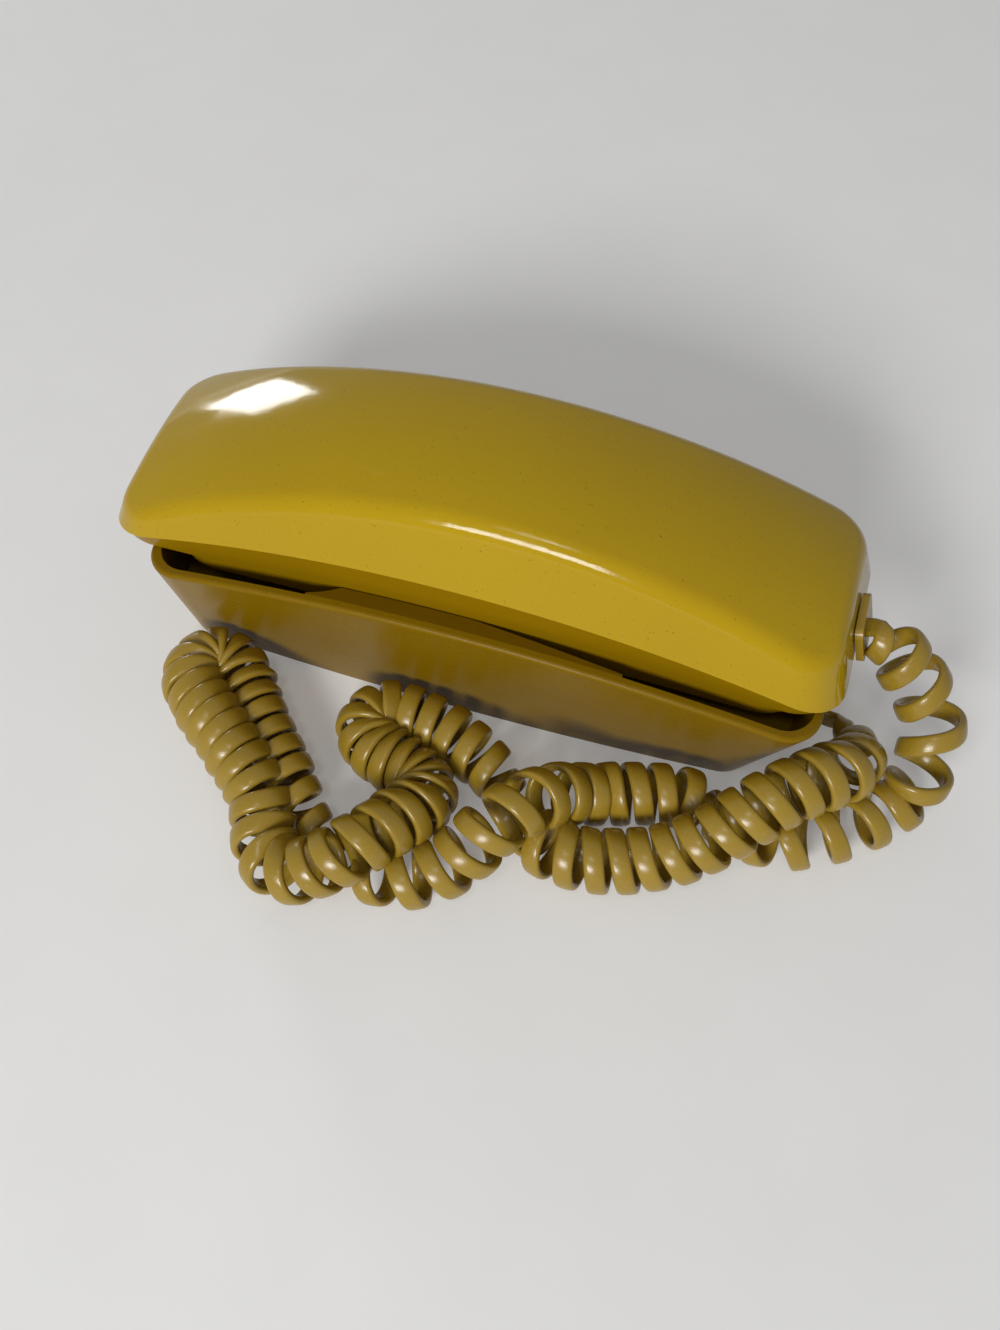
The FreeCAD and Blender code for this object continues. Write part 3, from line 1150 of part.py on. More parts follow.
# Coiled cord. The route is the line through the middle of the curls: x, y, height and
# the radius of the curls there. It leaves the handset, lies in front of the base and
# comes back to it. Crossings are a low, stretched strand under a raised one.
C = val("cord_coil_radius")
ROUTE = [
    (116.2, 0, 50.5, 0), (121, 0, 51.8, 4.5), (126.5, 1, 48.5, 7.5), (131, 0, 42, C), (135.5, -4.5, 34, C),
    (138.5, -10.5, 26, C), (139.5, -18, 18.5, C), (138, -26, 12.5, C), (134, -33.5, 10.6, C),
    (127.5, -41, 10.6, C), (118.5, -48.5, 10.6, C), (108.5, -53.5, 10, 7.6), (99, -55.5, 7.5, 5),
    (89.5, -54.5, 6.4, 3.8), (81, -51, 7.7, 5), (72.5, -47.5, 9.9, 7.4), (64, -48.5, 10.6, C),
    (55.5, -51, 10.6, C), (47, -54, 12.5, C), (39.5, -60.5, 22, C), (31.5, -70, 27, C), (24.5, -78, 23, C),
    (18.5, -86.5, 14, C), (11, -94.5, 9.8, 7.2), (1.5, -100, 7.2, 4.6), (-9, -99, 6.4, 3.8),
    (-18, -93.5, 6.6, 4), (-26, -86, 8.2, 5.8), (-34.5, -78, 9.4, 6.8), (-42.5, -69, 9.4, 6.8),
    (-50, -58.5, 9.4, 7),
    (-59, -49.5, 9.6, 7.2), (-69.5, -43.5, 10, 7.4), (-83, -42.5, 10, 7.2), (-91.5, -53, 10, 7.2),
    (-84, -63, 10.6, C), (-73.5, -71, 10.6, C), (-62.5, -79.5, 10.6, C), (-53.5, -88, 10.6, C),
    (-46.5, -98, 11.2, C), (-37.5, -105, 13.2, C), (-27, -107, 19, C), (-17.5, -102, 25, C),
    (-10.5, -92.5, 26, C), (-6, -83.5, 21, C), (0, -75, 14, 7.6), (2, -67, 9.8, 6.4), (-5, -61.5, 8.6, 5.8),
    (-14, -64, 8.8, 6), (-25.5, -62.5, 8.8, 6.2), (-32.5, -53, 8.8, 6.2), (-26, -43.2, 8.8, 6.2),
    (-13.5, -43.8, 9.6, 7.2), (-2.5, -44, 9.6, 7.2), (7.5, -46.5, 9.2, 6.8), (17, -51.5, 7.8, 5.4),
    (25.5, -59, 6.4, 3.8), (31.5, -68.5, 6.4, 3.8), (38.5, -77, 8, 5.6), (47.5, -80.5, 10.6, C),
    (58.5, -77.5, 12, C), (68.5, -74, 16.5, C), (78, -68.5, 23, C), (87, -62, 27.5, C), (96, -53, 30, C),
    (105, -44, 30.5, C), (112.5, -35, 27.5, C), (117.5, -25.5, 22, 7), (117.5, -15, 16, 3),
    (111.5, -9, 13, 0), (106.5, -9, 13, 0), (102.1, -9, 13, 0)]
SPAN_STEPS = 40
UP = Vector(0, 0, 1)
# Bends of the route, as one over their radius: where curls begin to spread, the most
# that counts beyond that, where they begin to nest, and how much more nests them fully.
GENTLE_BEND = 0.025
SHARP_BEND = 0.08
NEST_BEND = 0.012
NEST_FULL = 0.03


def spline(poles):
    """A clamped spline of order three with evenly spaced knots."""
    count = len(poles)
    knots = list(range(count - 1))
    mults = [3] + [1] * (count - 3) + [3]
    curve = Part.BSplineCurve()
    curve.buildFromPolesMultsKnots([Vector(*p) for p in poles], mults, knots, False, 2)
    return curve


def route_frames():
    """Samples along the route: distance, place, radius, two cross directions, bend, turn."""
    line = spline([p[:3] for p in ROUTE])
    swell = spline([(p[3], 0, 0) for p in ROUTE])
    spans = len(ROUTE) - 2
    count = spans * SPAN_STEPS
    places = [line.value(spans * i / count) for i in range(count + 1)]
    radii = [swell.value(spans * i / count).x for i in range(count + 1)]
    along = [line.tangent(spans * i / count)[0] for i in range(count + 1)]
    far = [0.0]
    for i in range(count):
        far.append(far[-1] + places[i].distanceToPoint(places[i + 1]))
    first = [UP - along[0] * along[0].dot(UP)]
    for i in range(count):
        carried = first[-1] - along[i + 1] * along[i + 1].dot(first[-1])
        first.append(carried.normalize())
    first[0].normalize()
    second = [along[i].cross(first[i]) for i in range(count + 1)]
    reach = 5.0
    bends = []
    before = after = 0
    for i in range(count + 1):
        while before < i and far[before] < far[i] - reach:
            before += 1
        while after < count and far[after] < far[i] + reach:
            after += 1
        bends.append((along[after] - along[before]) * (1.0 / (far[after] - far[before])))
    turn = [0.0]
    steps = [curl_pitch(far[i], radii[i], bends[i].Length) for i in range(count + 1)]
    for i in range(count):
        turn.append(turn[-1] + 4 * math.pi * (far[i + 1] - far[i]) / (steps[i] + steps[i + 1]))
    inner = [0.0]
    for i in range(1, count + 1):
        angle = math.atan2(bends[i].dot(second[i]), bends[i].dot(first[i]))
        while angle - inner[-1] > math.pi:
            angle -= 2 * math.pi
        while angle - inner[-1] < -math.pi:
            angle += 2 * math.pi
        inner.append(angle)
    inner[0] = inner[1]
    return far, places, radii, first, second, bends, turn, inner


def curl_pitch(far, radius, bend):
    """Distance between curls: wide where the cord hangs, is drawn out or bends."""
    drawn = val("cord_drawn") * min(max(1 - radius / C, 0), 1)
    bent = val("cord_bend_spread") * min(max(bend - GENTLE_BEND, 0), SHARP_BEND)
    pitch = val("cord_pitch") * (1 + drawn + bent)
    return max(pitch, val("cord_riser_pitch")) if far < val("cord_riser_length") else pitch


nest = val("cord_nest")
wire_size = val("cord_wire")
far, places, radii, first, second, bends, turn, inner = route_frames()


def mix(values, i, share):
    """A value part of the way from one sample to the next."""
    return values[i] * (1 - share) + values[i + 1] * share


def wire_at(angle):
    """Where the middle of the wire is after the curls have turned by angle."""
    low, high = 0, len(turn) - 1
    while high - low > 1:
        middle = (low + high) // 2
        if turn[middle] <= angle:
            low = middle
        else:
            high = middle
    share = (angle - turn[low]) / (turn[low + 1] - turn[low])
    radius = mix(radii, low, share)
    side = mix(inner, low, share)
    bend = mix(bends, low, share).Length
    slip = nest * min(max((bend - NEST_BEND) / NEST_FULL, 0), 1) * max(math.cos(angle - side), 0) \
        * math.cos((angle - side) / 2) * min(radius / C, 1)
    out = mix(first, low, share) * math.cos(angle) + mix(second, low, share) * math.sin(angle)
    return mix(places, low, share) + out * (radius + slip)


def wire_direction(angle):
    """The direction of the wire there."""
    step = 0.04
    ahead = wire_at(min(angle + step, turn[-1]))
    behind = wire_at(max(angle - step, 0))
    return (ahead - behind).normalize()


def arc_to(start, direction, end):
    """The arc that leaves start in a direction and reaches end."""
    chord = end - start
    across = chord - direction * chord.dot(direction)
    if across.Length < 1e-5 * chord.Length:
        return Part.makeLine(start, end)
    across.normalize()
    radius = chord.dot(chord) / (2 * chord.dot(across))
    centre = start + across * radius
    swept = 2 * math.atan2(chord.dot(across), chord.dot(direction))
    middle = centre - across * radius * math.cos(swept / 2) + direction * radius * math.sin(swept / 2)
    return Part.Arc(start, middle, end).toShape()


def biarc(a, a_way, b, b_way):
    """Two arcs that join a to b and meet smoothly half way."""
    chord = b - a
    both = a_way + b_way
    opening = 2 * (1 - a_way.dot(b_way))
    if opening < 1e-9:
        return [Part.makeLine(a, b)]
    reach = (-chord.dot(both) + math.sqrt(chord.dot(both) ** 2 + opening * chord.dot(chord))) / opening
    joint = (a + a_way * reach + b - b_way * reach) * 0.5
    back = arc_to(b, b_way * -1, joint)
    middle = back.valueAt((back.FirstParameter + back.LastParameter) / 2)
    return [arc_to(a, a_way, joint), Part.Arc(joint, middle, b).toShape()]


def curl_tube(label, from_turn, to_turn):
    """One unbroken tube of curls between two turn angles, with straight ends."""
    tilt = math.asin(min(wire_size / C, 1))
    if from_turn <= 0:
        start_way = GROMMET.Rotation.multVec(Vector(1, 0, 0))
        start = wire_at(0)
        stub = start - start_way * wire_size
    else:
        opened, closed = wire_at(from_turn), wire_at(from_turn + tilt)
        start_way = (closed - wire_at(from_turn - tilt)).normalize()
        stub = (wire_at(from_turn - tilt) + closed) * 0.5
        start = closed
    if to_turn >= turn[-1]:
        end_way = Vector(-1, 0, 0)
        end = wire_at(turn[-1])
        tail = end + end_way * wire_size
    else:
        opened = wire_at(to_turn - tilt)
        end_way = (wire_at(to_turn + tilt) - opened).normalize()
        end = opened
        tail = (wire_at(to_turn + tilt) + opened) * 0.5
    first_angle = 0 if from_turn <= 0 else from_turn + tilt
    last_angle = turn[-1] if to_turn >= turn[-1] else to_turn - tilt
    count = max(int(round((last_angle - first_angle) / math.pi)), 2)
    angles = [first_angle + (last_angle - first_angle) * i / count for i in range(count + 1)]
    stations = [(wire_at(a), wire_direction(a)) for a in angles]
    stations[0] = (start, start_way)
    stations[-1] = (end, end_way)
    edges = [Part.makeLine(stub, start)]
    for (a, a_way), (b, b_way) in zip(stations, stations[1:]):
        edges += biarc(a, a_way, b, b_way)
    edges.append(Part.makeLine(end, tail))
    path = Part.Wire(edges)
    ring = Part.Wire(Part.makeCircle(wire_size / 2, stub, start_way))
    tube = path.makePipeShell([ring], True, False)
    expected = math.pi * (wire_size / 2) ** 2 * path.Length
    radius_least = min([e.Curve.Radius for e in edges if isinstance(e.Curve, Part.Circle)])
    print("%s: %.1f curls, wire %.0f mm, volume %.4f of section times length, least bend %.2f" %
          (label, (to_turn - from_turn) / 2 / math.pi, path.Length, tube.Volume / expected, radius_least))
    sculpted(label, Part.Solid(tube) if tube.ShapeType == "Shell" else tube)
    return edges


def least_gap(edges_of):
    """Print the least gap between stretches of wire that are not neighbours."""
    step = 0.9
    samples = []
    run = 0.0
    for name, edges in edges_of:
        for edge in edges:
            count = max(int(edge.Length / step), 1)
            for k in range(count):
                at = edge.FirstParameter + (edge.LastParameter - edge.FirstParameter) * k / count
                samples.append((edge.valueAt(at), run + edge.Length * k / count, name))
            run += edge.Length
    cell = 6.0
    grid = {}
    for index, (spot, distance, name) in enumerate(samples):
        grid.setdefault((int(spot.x // cell), int(spot.y // cell), int(spot.z // cell)), []).append(index)
    least = {}
    skip = 3.2 * wire_size
    for (i, j, k), members in grid.items():
        near = [n for a in (-1, 0, 1) for b in (-1, 0, 1) for c in (-1, 0, 1)
                for n in grid.get((i + a, j + b, k + c), [])]
        for m in members:
            for n in near:
                if n > m and abs(samples[m][1] - samples[n][1]) > skip:
                    gap = samples[m][0].distanceToPoint(samples[n][0]) - wire_size
                    pair = (samples[m][2], samples[n][2])
                    if gap < least.get(pair, (9e9,))[0]:
                        least[pair] = (gap, samples[m][0], samples[n][0])
    for pair, (gap, one, other) in sorted(least.items(), key=lambda item: item[1][0]):
        print("least gap %s to %s: %.2f mm near (%.0f, %.0f, %.0f)" % (pair + (gap, one.x, one.y, one.z)))
    print("lowest point of the cord %.2f mm" % (min(s[0].z for s in samples) - wire_size / 2))


CURLS = turn[-1] / 2 / math.pi
CUTS = [0, 6, 22, 45, 66, CURLS]
CORDS = ["cord_riser", "cord_back_run", "cord_ear_loop", "cord_middle_loop", "cord_front_run"]
print("curls in all %.1f, route %.0f mm" % (CURLS, far[-1]))
made_edges = []


def top_of_curl(curls):
    """The turn angle near so many curls at which the wire is on top of its curl."""
    angles = [2 * math.pi * (curls + i / 48) for i in range(-24, 24)]
    return max(angles, key=lambda a: wire_at(a).z)


limits = [0] + [top_of_curl(curls) for curls in CUTS[1:-1]] + [turn[-1]]
for name, low, high in zip(CORDS, limits, limits[1:]):
    made_edges.append((name, curl_tube(name, low, high)))
least_gap(made_edges)

doc.recompute()
broken = [o.Label for o in doc.Objects if "Invalid" in o.State or "Error" in o.State]
if broken:
    raise RuntimeError("failed features: " + ", ".join(broken))
os.makedirs("parts", exist_ok=True)
for node in NODES:
    shape = node.Shape
    if shape.isNull() or not shape.isValid() or not shape.Solids:
        raise RuntimeError("bad shape: " + node.Label)
    shape.exportStep(os.path.join("parts", node.Label + ".step"))
print("%d nodes, %d solids" % (len(NODES), sum(len(n.Shape.Solids) for n in NODES)))
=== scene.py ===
import math

import bpy
import numpy as np
from mathutils import Matrix, Vector


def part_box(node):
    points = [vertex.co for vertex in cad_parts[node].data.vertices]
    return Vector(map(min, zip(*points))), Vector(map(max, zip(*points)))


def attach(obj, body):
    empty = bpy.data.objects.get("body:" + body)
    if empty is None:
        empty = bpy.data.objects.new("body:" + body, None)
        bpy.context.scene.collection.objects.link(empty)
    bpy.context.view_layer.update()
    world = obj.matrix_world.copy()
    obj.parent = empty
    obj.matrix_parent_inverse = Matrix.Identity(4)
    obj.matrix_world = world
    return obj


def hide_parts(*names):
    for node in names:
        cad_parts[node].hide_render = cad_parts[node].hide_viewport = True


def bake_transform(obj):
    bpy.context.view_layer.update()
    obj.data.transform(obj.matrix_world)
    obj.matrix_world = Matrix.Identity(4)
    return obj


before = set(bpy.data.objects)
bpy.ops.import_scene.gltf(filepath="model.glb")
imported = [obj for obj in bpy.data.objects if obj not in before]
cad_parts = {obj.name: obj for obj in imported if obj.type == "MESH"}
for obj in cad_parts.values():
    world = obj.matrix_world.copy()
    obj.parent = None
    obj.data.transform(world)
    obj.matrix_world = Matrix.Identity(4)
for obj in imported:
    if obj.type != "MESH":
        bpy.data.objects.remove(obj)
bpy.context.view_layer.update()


# Camera: a handheld phone camera about 0.4 m off, looking down steeply over the long near side
# of the telephone, a little from its mouthpiece end. Placed by the photograph's perspective.
camera_place = Vector((0.0735, -0.2254, 0.3535))
camera_aim = Vector((0.0092, -0.0190, 0.0089))
camera_roll = math.radians(0.2)
camera = bpy.data.objects.new("camera", bpy.data.cameras.new("camera"))
camera.data.lens = 35.19
camera.data.clip_start = 0.01
camera.matrix_world = (
    Matrix.Translation(camera_place)
    @ (camera_aim - camera_place).to_track_quat("-Z", "Y").to_matrix().to_4x4()
    @ Matrix.Rotation(camera_roll, 4, "Z"))
bpy.context.collection.objects.link(camera)
bpy.context.scene.camera = camera


# Coiled cord: a flat four-conductor ribbon in a soft tan vinyl jacket, wound hot into curls and
# set. It leaves the handset's end, lies in long loops in front of the phone and goes back into
# the base. The route is the line through the middle of the curls.
ribbon_width = 0.0058
ribbon_thickness = 0.0026
# Points of the route in metres, each with the radius of the curls there and how far apart the
# curls follow each other.
cord_route = [
    (0.1105, 0, 0.0489, 0, 0.08), (0.1126, 0, 0.0492, 0, 0.08), (0.1144, -0.0004, 0.0491, 0.0036, 0.05),
    (0.1165, -0.001, 0.0484, 0.0054, 0.0105), (0.1195, -0.002, 0.0472, 0.0064, 0.0085),
    (0.1232, -0.0036, 0.0446, 0.0074, 0.0095), (0.1268, -0.0054, 0.0412, 0.0081, 0.0108),
    (0.1308, -0.0072, 0.0374, 0.0082, 0.0125), (0.1348, -0.0096, 0.033, 0.0082, 0.0145),
    (0.1376, -0.0138, 0.029, 0.0082, 0.016), (0.1386, -0.0192, 0.0246, 0.0082, 0.016),
    (0.1382, -0.0242, 0.0196, 0.008, 0.013), (0.137, -0.0276, 0.0146, 0.0076, 0.01),
    (0.1344, -0.0305, 0.0106, 0.0076, 0.009), (0.1306, -0.0342, 0.0098, 0.0078, 0.0105),
    (0.1256, -0.039, 0.0106, 0.0082, 0.012), (0.1195, -0.0444, 0.0108, 0.0082, 0.012),
    (0.1125, -0.0485, 0.0108, 0.0082, 0.0115), (0.1055, -0.052, 0.0106, 0.008, 0.0105),
    (0.098, -0.054, 0.0086, 0.006, 0.011), (0.09, -0.0525, 0.0072, 0.0046, 0.011),
    (0.082, -0.049, 0.009, 0.0064, 0.009), (0.075, -0.047, 0.0107, 0.0081, 0.0078),
    (0.066, -0.049, 0.0107, 0.0081, 0.0076), (0.058, -0.0515, 0.0107, 0.0081, 0.0076),
    (0.051, -0.054, 0.0107, 0.0081, 0.0076), (0.044, -0.0575, 0.014, 0.0081, 0.0084),
    (0.0375, -0.063, 0.02, 0.0081, 0.0096), (0.0315, -0.071, 0.0245, 0.0082, 0.009),
    (0.026, -0.0775, 0.0225, 0.0082, 0.0095), (0.0205, -0.0845, 0.0155, 0.0082, 0.0095),
    (0.014, -0.091, 0.0108, 0.0082, 0.0095), (0.0065, -0.0955, 0.0104, 0.0078, 0.01),
    (-0.002, -0.0985, 0.0086, 0.006, 0.011), (-0.011, -0.098, 0.007, 0.0044, 0.012),
    (-0.0195, -0.0935, 0.0068, 0.0042, 0.012), (-0.0275, -0.0865, 0.0078, 0.0052, 0.01),
    (-0.035, -0.0795, 0.0092, 0.0066, 0.0085), (-0.0415, -0.0725, 0.0098, 0.0072, 0.0064),
    (-0.0475, -0.0665, 0.0099, 0.0073, 0.0074), (-0.053, -0.061, 0.0099, 0.0073, 0.0072),
    (-0.059, -0.0545, 0.01, 0.0074, 0.0066), (-0.0645, -0.0485, 0.0104, 0.0078, 0.0054),
    (-0.069, -0.0438, 0.0106, 0.008, 0.0045), (-0.0755, -0.0432, 0.011, 0.0081, 0.0045),
    (-0.0795, -0.0485, 0.0124, 0.0081, 0.0047), (-0.0786, -0.0555, 0.0136, 0.0081, 0.0053),
    (-0.0715, -0.0625, 0.0144, 0.0081, 0.006), (-0.064, -0.068, 0.0144, 0.0081, 0.006),
    (-0.0565, -0.0735, 0.0142, 0.0081, 0.006), (-0.049, -0.079, 0.0136, 0.0081, 0.0063),
    (-0.0425, -0.0855, 0.0126, 0.0081, 0.007), (-0.0395, -0.093, 0.011, 0.0082, 0.0078),
    (-0.036, -0.1002, 0.0108, 0.0082, 0.0078), (-0.03, -0.1045, 0.011, 0.0082, 0.0076),
    (-0.0235, -0.104, 0.013, 0.0082, 0.0078), (-0.017, -0.1008, 0.0165, 0.0082, 0.008),
    (-0.0105, -0.0965, 0.0205, 0.0082, 0.0076), (-0.005, -0.0895, 0.021, 0.0082, 0.0075),
    (-0.0005, -0.0825, 0.0185, 0.0082, 0.0066), (0.0032, -0.076, 0.0155, 0.0081, 0.0062),
    (0.0032, -0.069, 0.012, 0.0081, 0.0052), (-0.003, -0.0638, 0.0106, 0.008, 0.005),
    (-0.0105, -0.0622, 0.0106, 0.008, 0.0052), (-0.018, -0.0598, 0.0106, 0.008, 0.005),
    (-0.0228, -0.0545, 0.0106, 0.008, 0.0048), (-0.0218, -0.0476, 0.0105, 0.0079, 0.0048),
    (-0.016, -0.0446, 0.0104, 0.0078, 0.0052), (-0.008, -0.0454, 0.0105, 0.0079, 0.0072),
    (0, -0.047, 0.0106, 0.008, 0.0076), (0.007, -0.05, 0.0106, 0.008, 0.0076),
    (0.0135, -0.053, 0.0104, 0.0078, 0.0074), (0.02, -0.057, 0.009, 0.0064, 0.009),
    (0.027, -0.0625, 0.0068, 0.0042, 0.012), (0.032, -0.069, 0.0076, 0.005, 0.01),
    (0.0385, -0.0738, 0.0108, 0.0082, 0.0077), (0.047, -0.0756, 0.0108, 0.0082, 0.0075),
    (0.054, -0.075, 0.0108, 0.0082, 0.0075), (0.061, -0.0732, 0.0108, 0.0082, 0.0077),
    (0.0675, -0.071, 0.0116, 0.0082, 0.0076), (0.074, -0.0686, 0.0136, 0.0082, 0.0078),
    (0.08, -0.065, 0.0162, 0.0082, 0.008), (0.086, -0.061, 0.0198, 0.0082, 0.008),
    (0.0915, -0.056, 0.0236, 0.0082, 0.0078), (0.097, -0.051, 0.027, 0.0082, 0.0076),
    (0.1025, -0.046, 0.029, 0.0082, 0.0077), (0.108, -0.0415, 0.0294, 0.0082, 0.0075),
    (0.1135, -0.037, 0.0286, 0.0082, 0.0077), (0.118, -0.0315, 0.026, 0.0082, 0.008),
    (0.1195, -0.024, 0.0215, 0.0066, 0.009), (0.117, -0.0155, 0.0165, 0.003, 0.012),
    (0.111, -0.0096, 0.0134, 0.0004, 0.014), (0.105, -0.009, 0.013, 0, 0.014),
    (0.098, -0.009, 0.013, 0, 0.014)]


def smooth_line(points):
    """Points read from the NURBS curve of order 3 that has the given points as its poles."""
    data = bpy.data.curves.new("route", "CURVE")
    data.dimensions = "3D"
    data.resolution_u = 32
    spline = data.splines.new("NURBS")
    spline.points.add(len(points) - 1)
    for pole, point in zip(spline.points, points):
        pole.co = (*point, 1.0)
    spline.order_u = 3
    spline.use_endpoint_u = True
    holder = bpy.data.objects.new("route", data)
    line = bpy.data.meshes.new_from_object(holder)
    places = np.empty(3 * len(line.vertices))
    line.vertices.foreach_get("co", places)
    bpy.data.objects.remove(holder)
    bpy.data.curves.remove(data)
    bpy.data.meshes.remove(line)
    return places.reshape(-1, 3)


def unit(rows):
    """Each row divided by its own length."""
    return rows / np.linalg.norm(rows, axis=1, keepdims=True)


def summed(rate, along):
    """The running integral of rate over along, by the trapezium rule, from zero."""
    return np.concatenate([[0.0], np.cumsum(0.5 * (rate[1:] + rate[:-1]) * np.diff(along))])


def ramp(value, low, high):
    """Zero below low, one above high, and the smooth cubic 3t^2 - 2t^3 in between."""
    part = np.clip((value - low) / (high - low), 0.0, 1.0)
    return part * part * (3.0 - 2.0 * part)


def curls(route, step):
    """The wire's centres a step apart, its outward directions and its turn angles.

    The wire turns about the route: at turn angle a its centre is the route's point plus
    r (first cos a + second sin a), where first is straight up made square to the route, second
    is square to both, and r is the radius of the curls, a little uneven from curl to curl. The
    angle grows by a full turn per pitch, less the turning of first about the route."""
    line = smooth_line([point[:3] for point in route])
    shape = smooth_line([(point[3], point[4], 0) for point in route])
    radius, pitch = shape[:, 0], shape[:, 1]
    far = np.concatenate([[0.0], np.cumsum(np.linalg.norm(np.diff(line, axis=0), axis=1))])
    ahead = unit(np.gradient(line, far, axis=0))
    first = unit(np.array([0.0, 0.0, 1.0]) - ahead * ahead[:, 2:3])
    second = np.cross(ahead, first)
    drift = summed((np.gradient(first, far, axis=0) * second).sum(axis=1), far)
    turn = summed(2 * math.pi / pitch, far)
    # The ribbon itself isn't turned where the cord comes straight out of its grommets.
    straight, curled = 0.0002, 0.002
    wound = summed(ramp(radius, straight, curled) * 2 * math.pi / pitch, far)
    middle = len(far) // 2
    wound += turn[middle] - wound[middle]

    wire = summed(np.hypot(1, 2 * math.pi * radius / pitch), far)
    at = np.interp(np.linspace(0, wire[-1], int(wire[-1] / step)), wire, far)

    def here(values):
        return np.stack([np.interp(at, far, column) for column in np.atleast_2d(values.T)], axis=1)

    angle = here(turn)[:, 0]
    sway = -here(drift)[:, 0]
    uneven = 1 + 0.012 * np.sin(0.37 * angle) + 0.01 * np.sin(0.83 * angle + 1)
    size = here(radius) * uneven[:, None]
    up, side = here(first), here(second)
    place = angle + sway
    centres = here(line) + size * (up * np.cos(place)[:, None] + side * np.sin(place)[:, None])
    facing = here(wound)[:, 0] + sway
    outward = up * np.cos(facing)[:, None] + side * np.sin(facing)[:, None]
    return centres, outward, angle


def ribbon(centres, outward, lean, width, thickness, around):
    """A grid of points on a flat ribbon with rounded edges that follows the centres.

    Round the section at angle b the point lies width/2 |cos b|^0.55 across the ribbon and
    thickness/2 |sin b|^0.8 outward, each with the sign of its cosine or sine. lean turns the
    section about the wire."""
    ahead = unit(np.gradient(centres, axis=0))
    outward = unit(outward - ahead * (outward * ahead).sum(axis=1, keepdims=True))
    across = np.cross(ahead, outward)
    turned = across * np.cos(lean)[:, None] + outward * np.sin(lean)[:, None]
    raised = outward * np.cos(lean)[:, None] - across * np.sin(lean)[:, None]
    b = np.linspace(0, 2 * math.pi, around, endpoint=False)
    flat = np.sign(np.cos(b)) * np.abs(np.cos(b)) ** 0.55 * width / 2
    thick = np.sign(np.sin(b)) * np.abs(np.sin(b)) ** 0.8 * thickness / 2
    return (centres[:, None, :] + turned[:, None, :] * flat[None, :, None]
            + raised[:, None, :] * thick[None, :, None])


def tube_mesh(name, grid):
    """A closed tube from a grid of rings, with a flat cap at each end and a map of metres
    along it and turns round it."""
    rings, around = grid.shape[:2]
    number = np.arange(rings * around).reshape(rings, around)
    beside = np.roll(number, -1, axis=1)
    quads = np.stack([number[:-1], beside[:-1], beside[1:], number[1:]], axis=-1).reshape(-1, 4)
    faces = quads.tolist() + [number[0, ::-1].tolist(), number[-1].tolist()]
    mesh = bpy.data.meshes.new(name)
    mesh.from_pydata(grid.reshape(-1, 3).tolist(), [], faces)
    along = np.concatenate([[0.0], np.cumsum(
        np.linalg.norm(np.diff(grid.mean(axis=1), axis=0), axis=1))])
    row = np.repeat(np.arange(rings - 1), around)
    column = np.tile(np.arange(around), rings - 1)
    u = np.stack([along[row], along[row], along[row + 1], along[row + 1]], axis=1)
    v = np.stack([column, column + 1, column + 1, column], axis=1) / around
    ends = np.zeros((2 * around, 2))
    places = np.concatenate([np.stack([u, v], axis=-1).reshape(-1, 2), ends])
    mesh.uv_layers.new(name="along").data.foreach_set("uv", places.ravel())
    mesh.shade_smooth()
    return mesh


ring_step = 0.0013
points_round = 16
centres, outward, angle = curls(cord_route, ring_step)
# Where the next curl is nearer than the ribbon is wide, the ribbon leans, so that the curls lie
# like slates: two of them clear each other where spacing times the sine is their thickness.
full_turn = 2 * math.pi
clearance, steepest_sine = 1.05, 0.75
touching, apart = 0.0058, 0.0067
next_curl = np.stack([np.interp(angle + full_turn, angle, column) for column in centres.T], axis=1)
spacing = np.linalg.norm(next_curl - centres, axis=1)
sine = clearance * ribbon_thickness / np.maximum(spacing, ribbon_thickness)
lean = np.arcsin(np.clip(sine, 0, steepest_sine)) * (1 - ramp(spacing, touching, apart))
# The last curl and a half has no next one to lean on.
lean = lean * (angle < angle[-1] - 1.5 * full_turn)
# Averaged over a few rings, so that the lean sets in gently.
weights = np.hanning(12)
margin = len(weights) // 2
lean = np.convolve(np.pad(lean, margin, mode="edge"), weights / weights.sum(), "same")
lean = lean[margin:][:len(centres)]
grid = ribbon(centres, outward, lean, ribbon_width, ribbon_thickness, points_round)
cord = bpy.data.objects.new("coiled_cord", tube_mesh("coiled_cord", grid))
bpy.context.collection.objects.link(cord)
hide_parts("cord_riser", "cord_back_run", "cord_ear_loop", "cord_middle_loop", "cord_front_run")
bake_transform(cord)


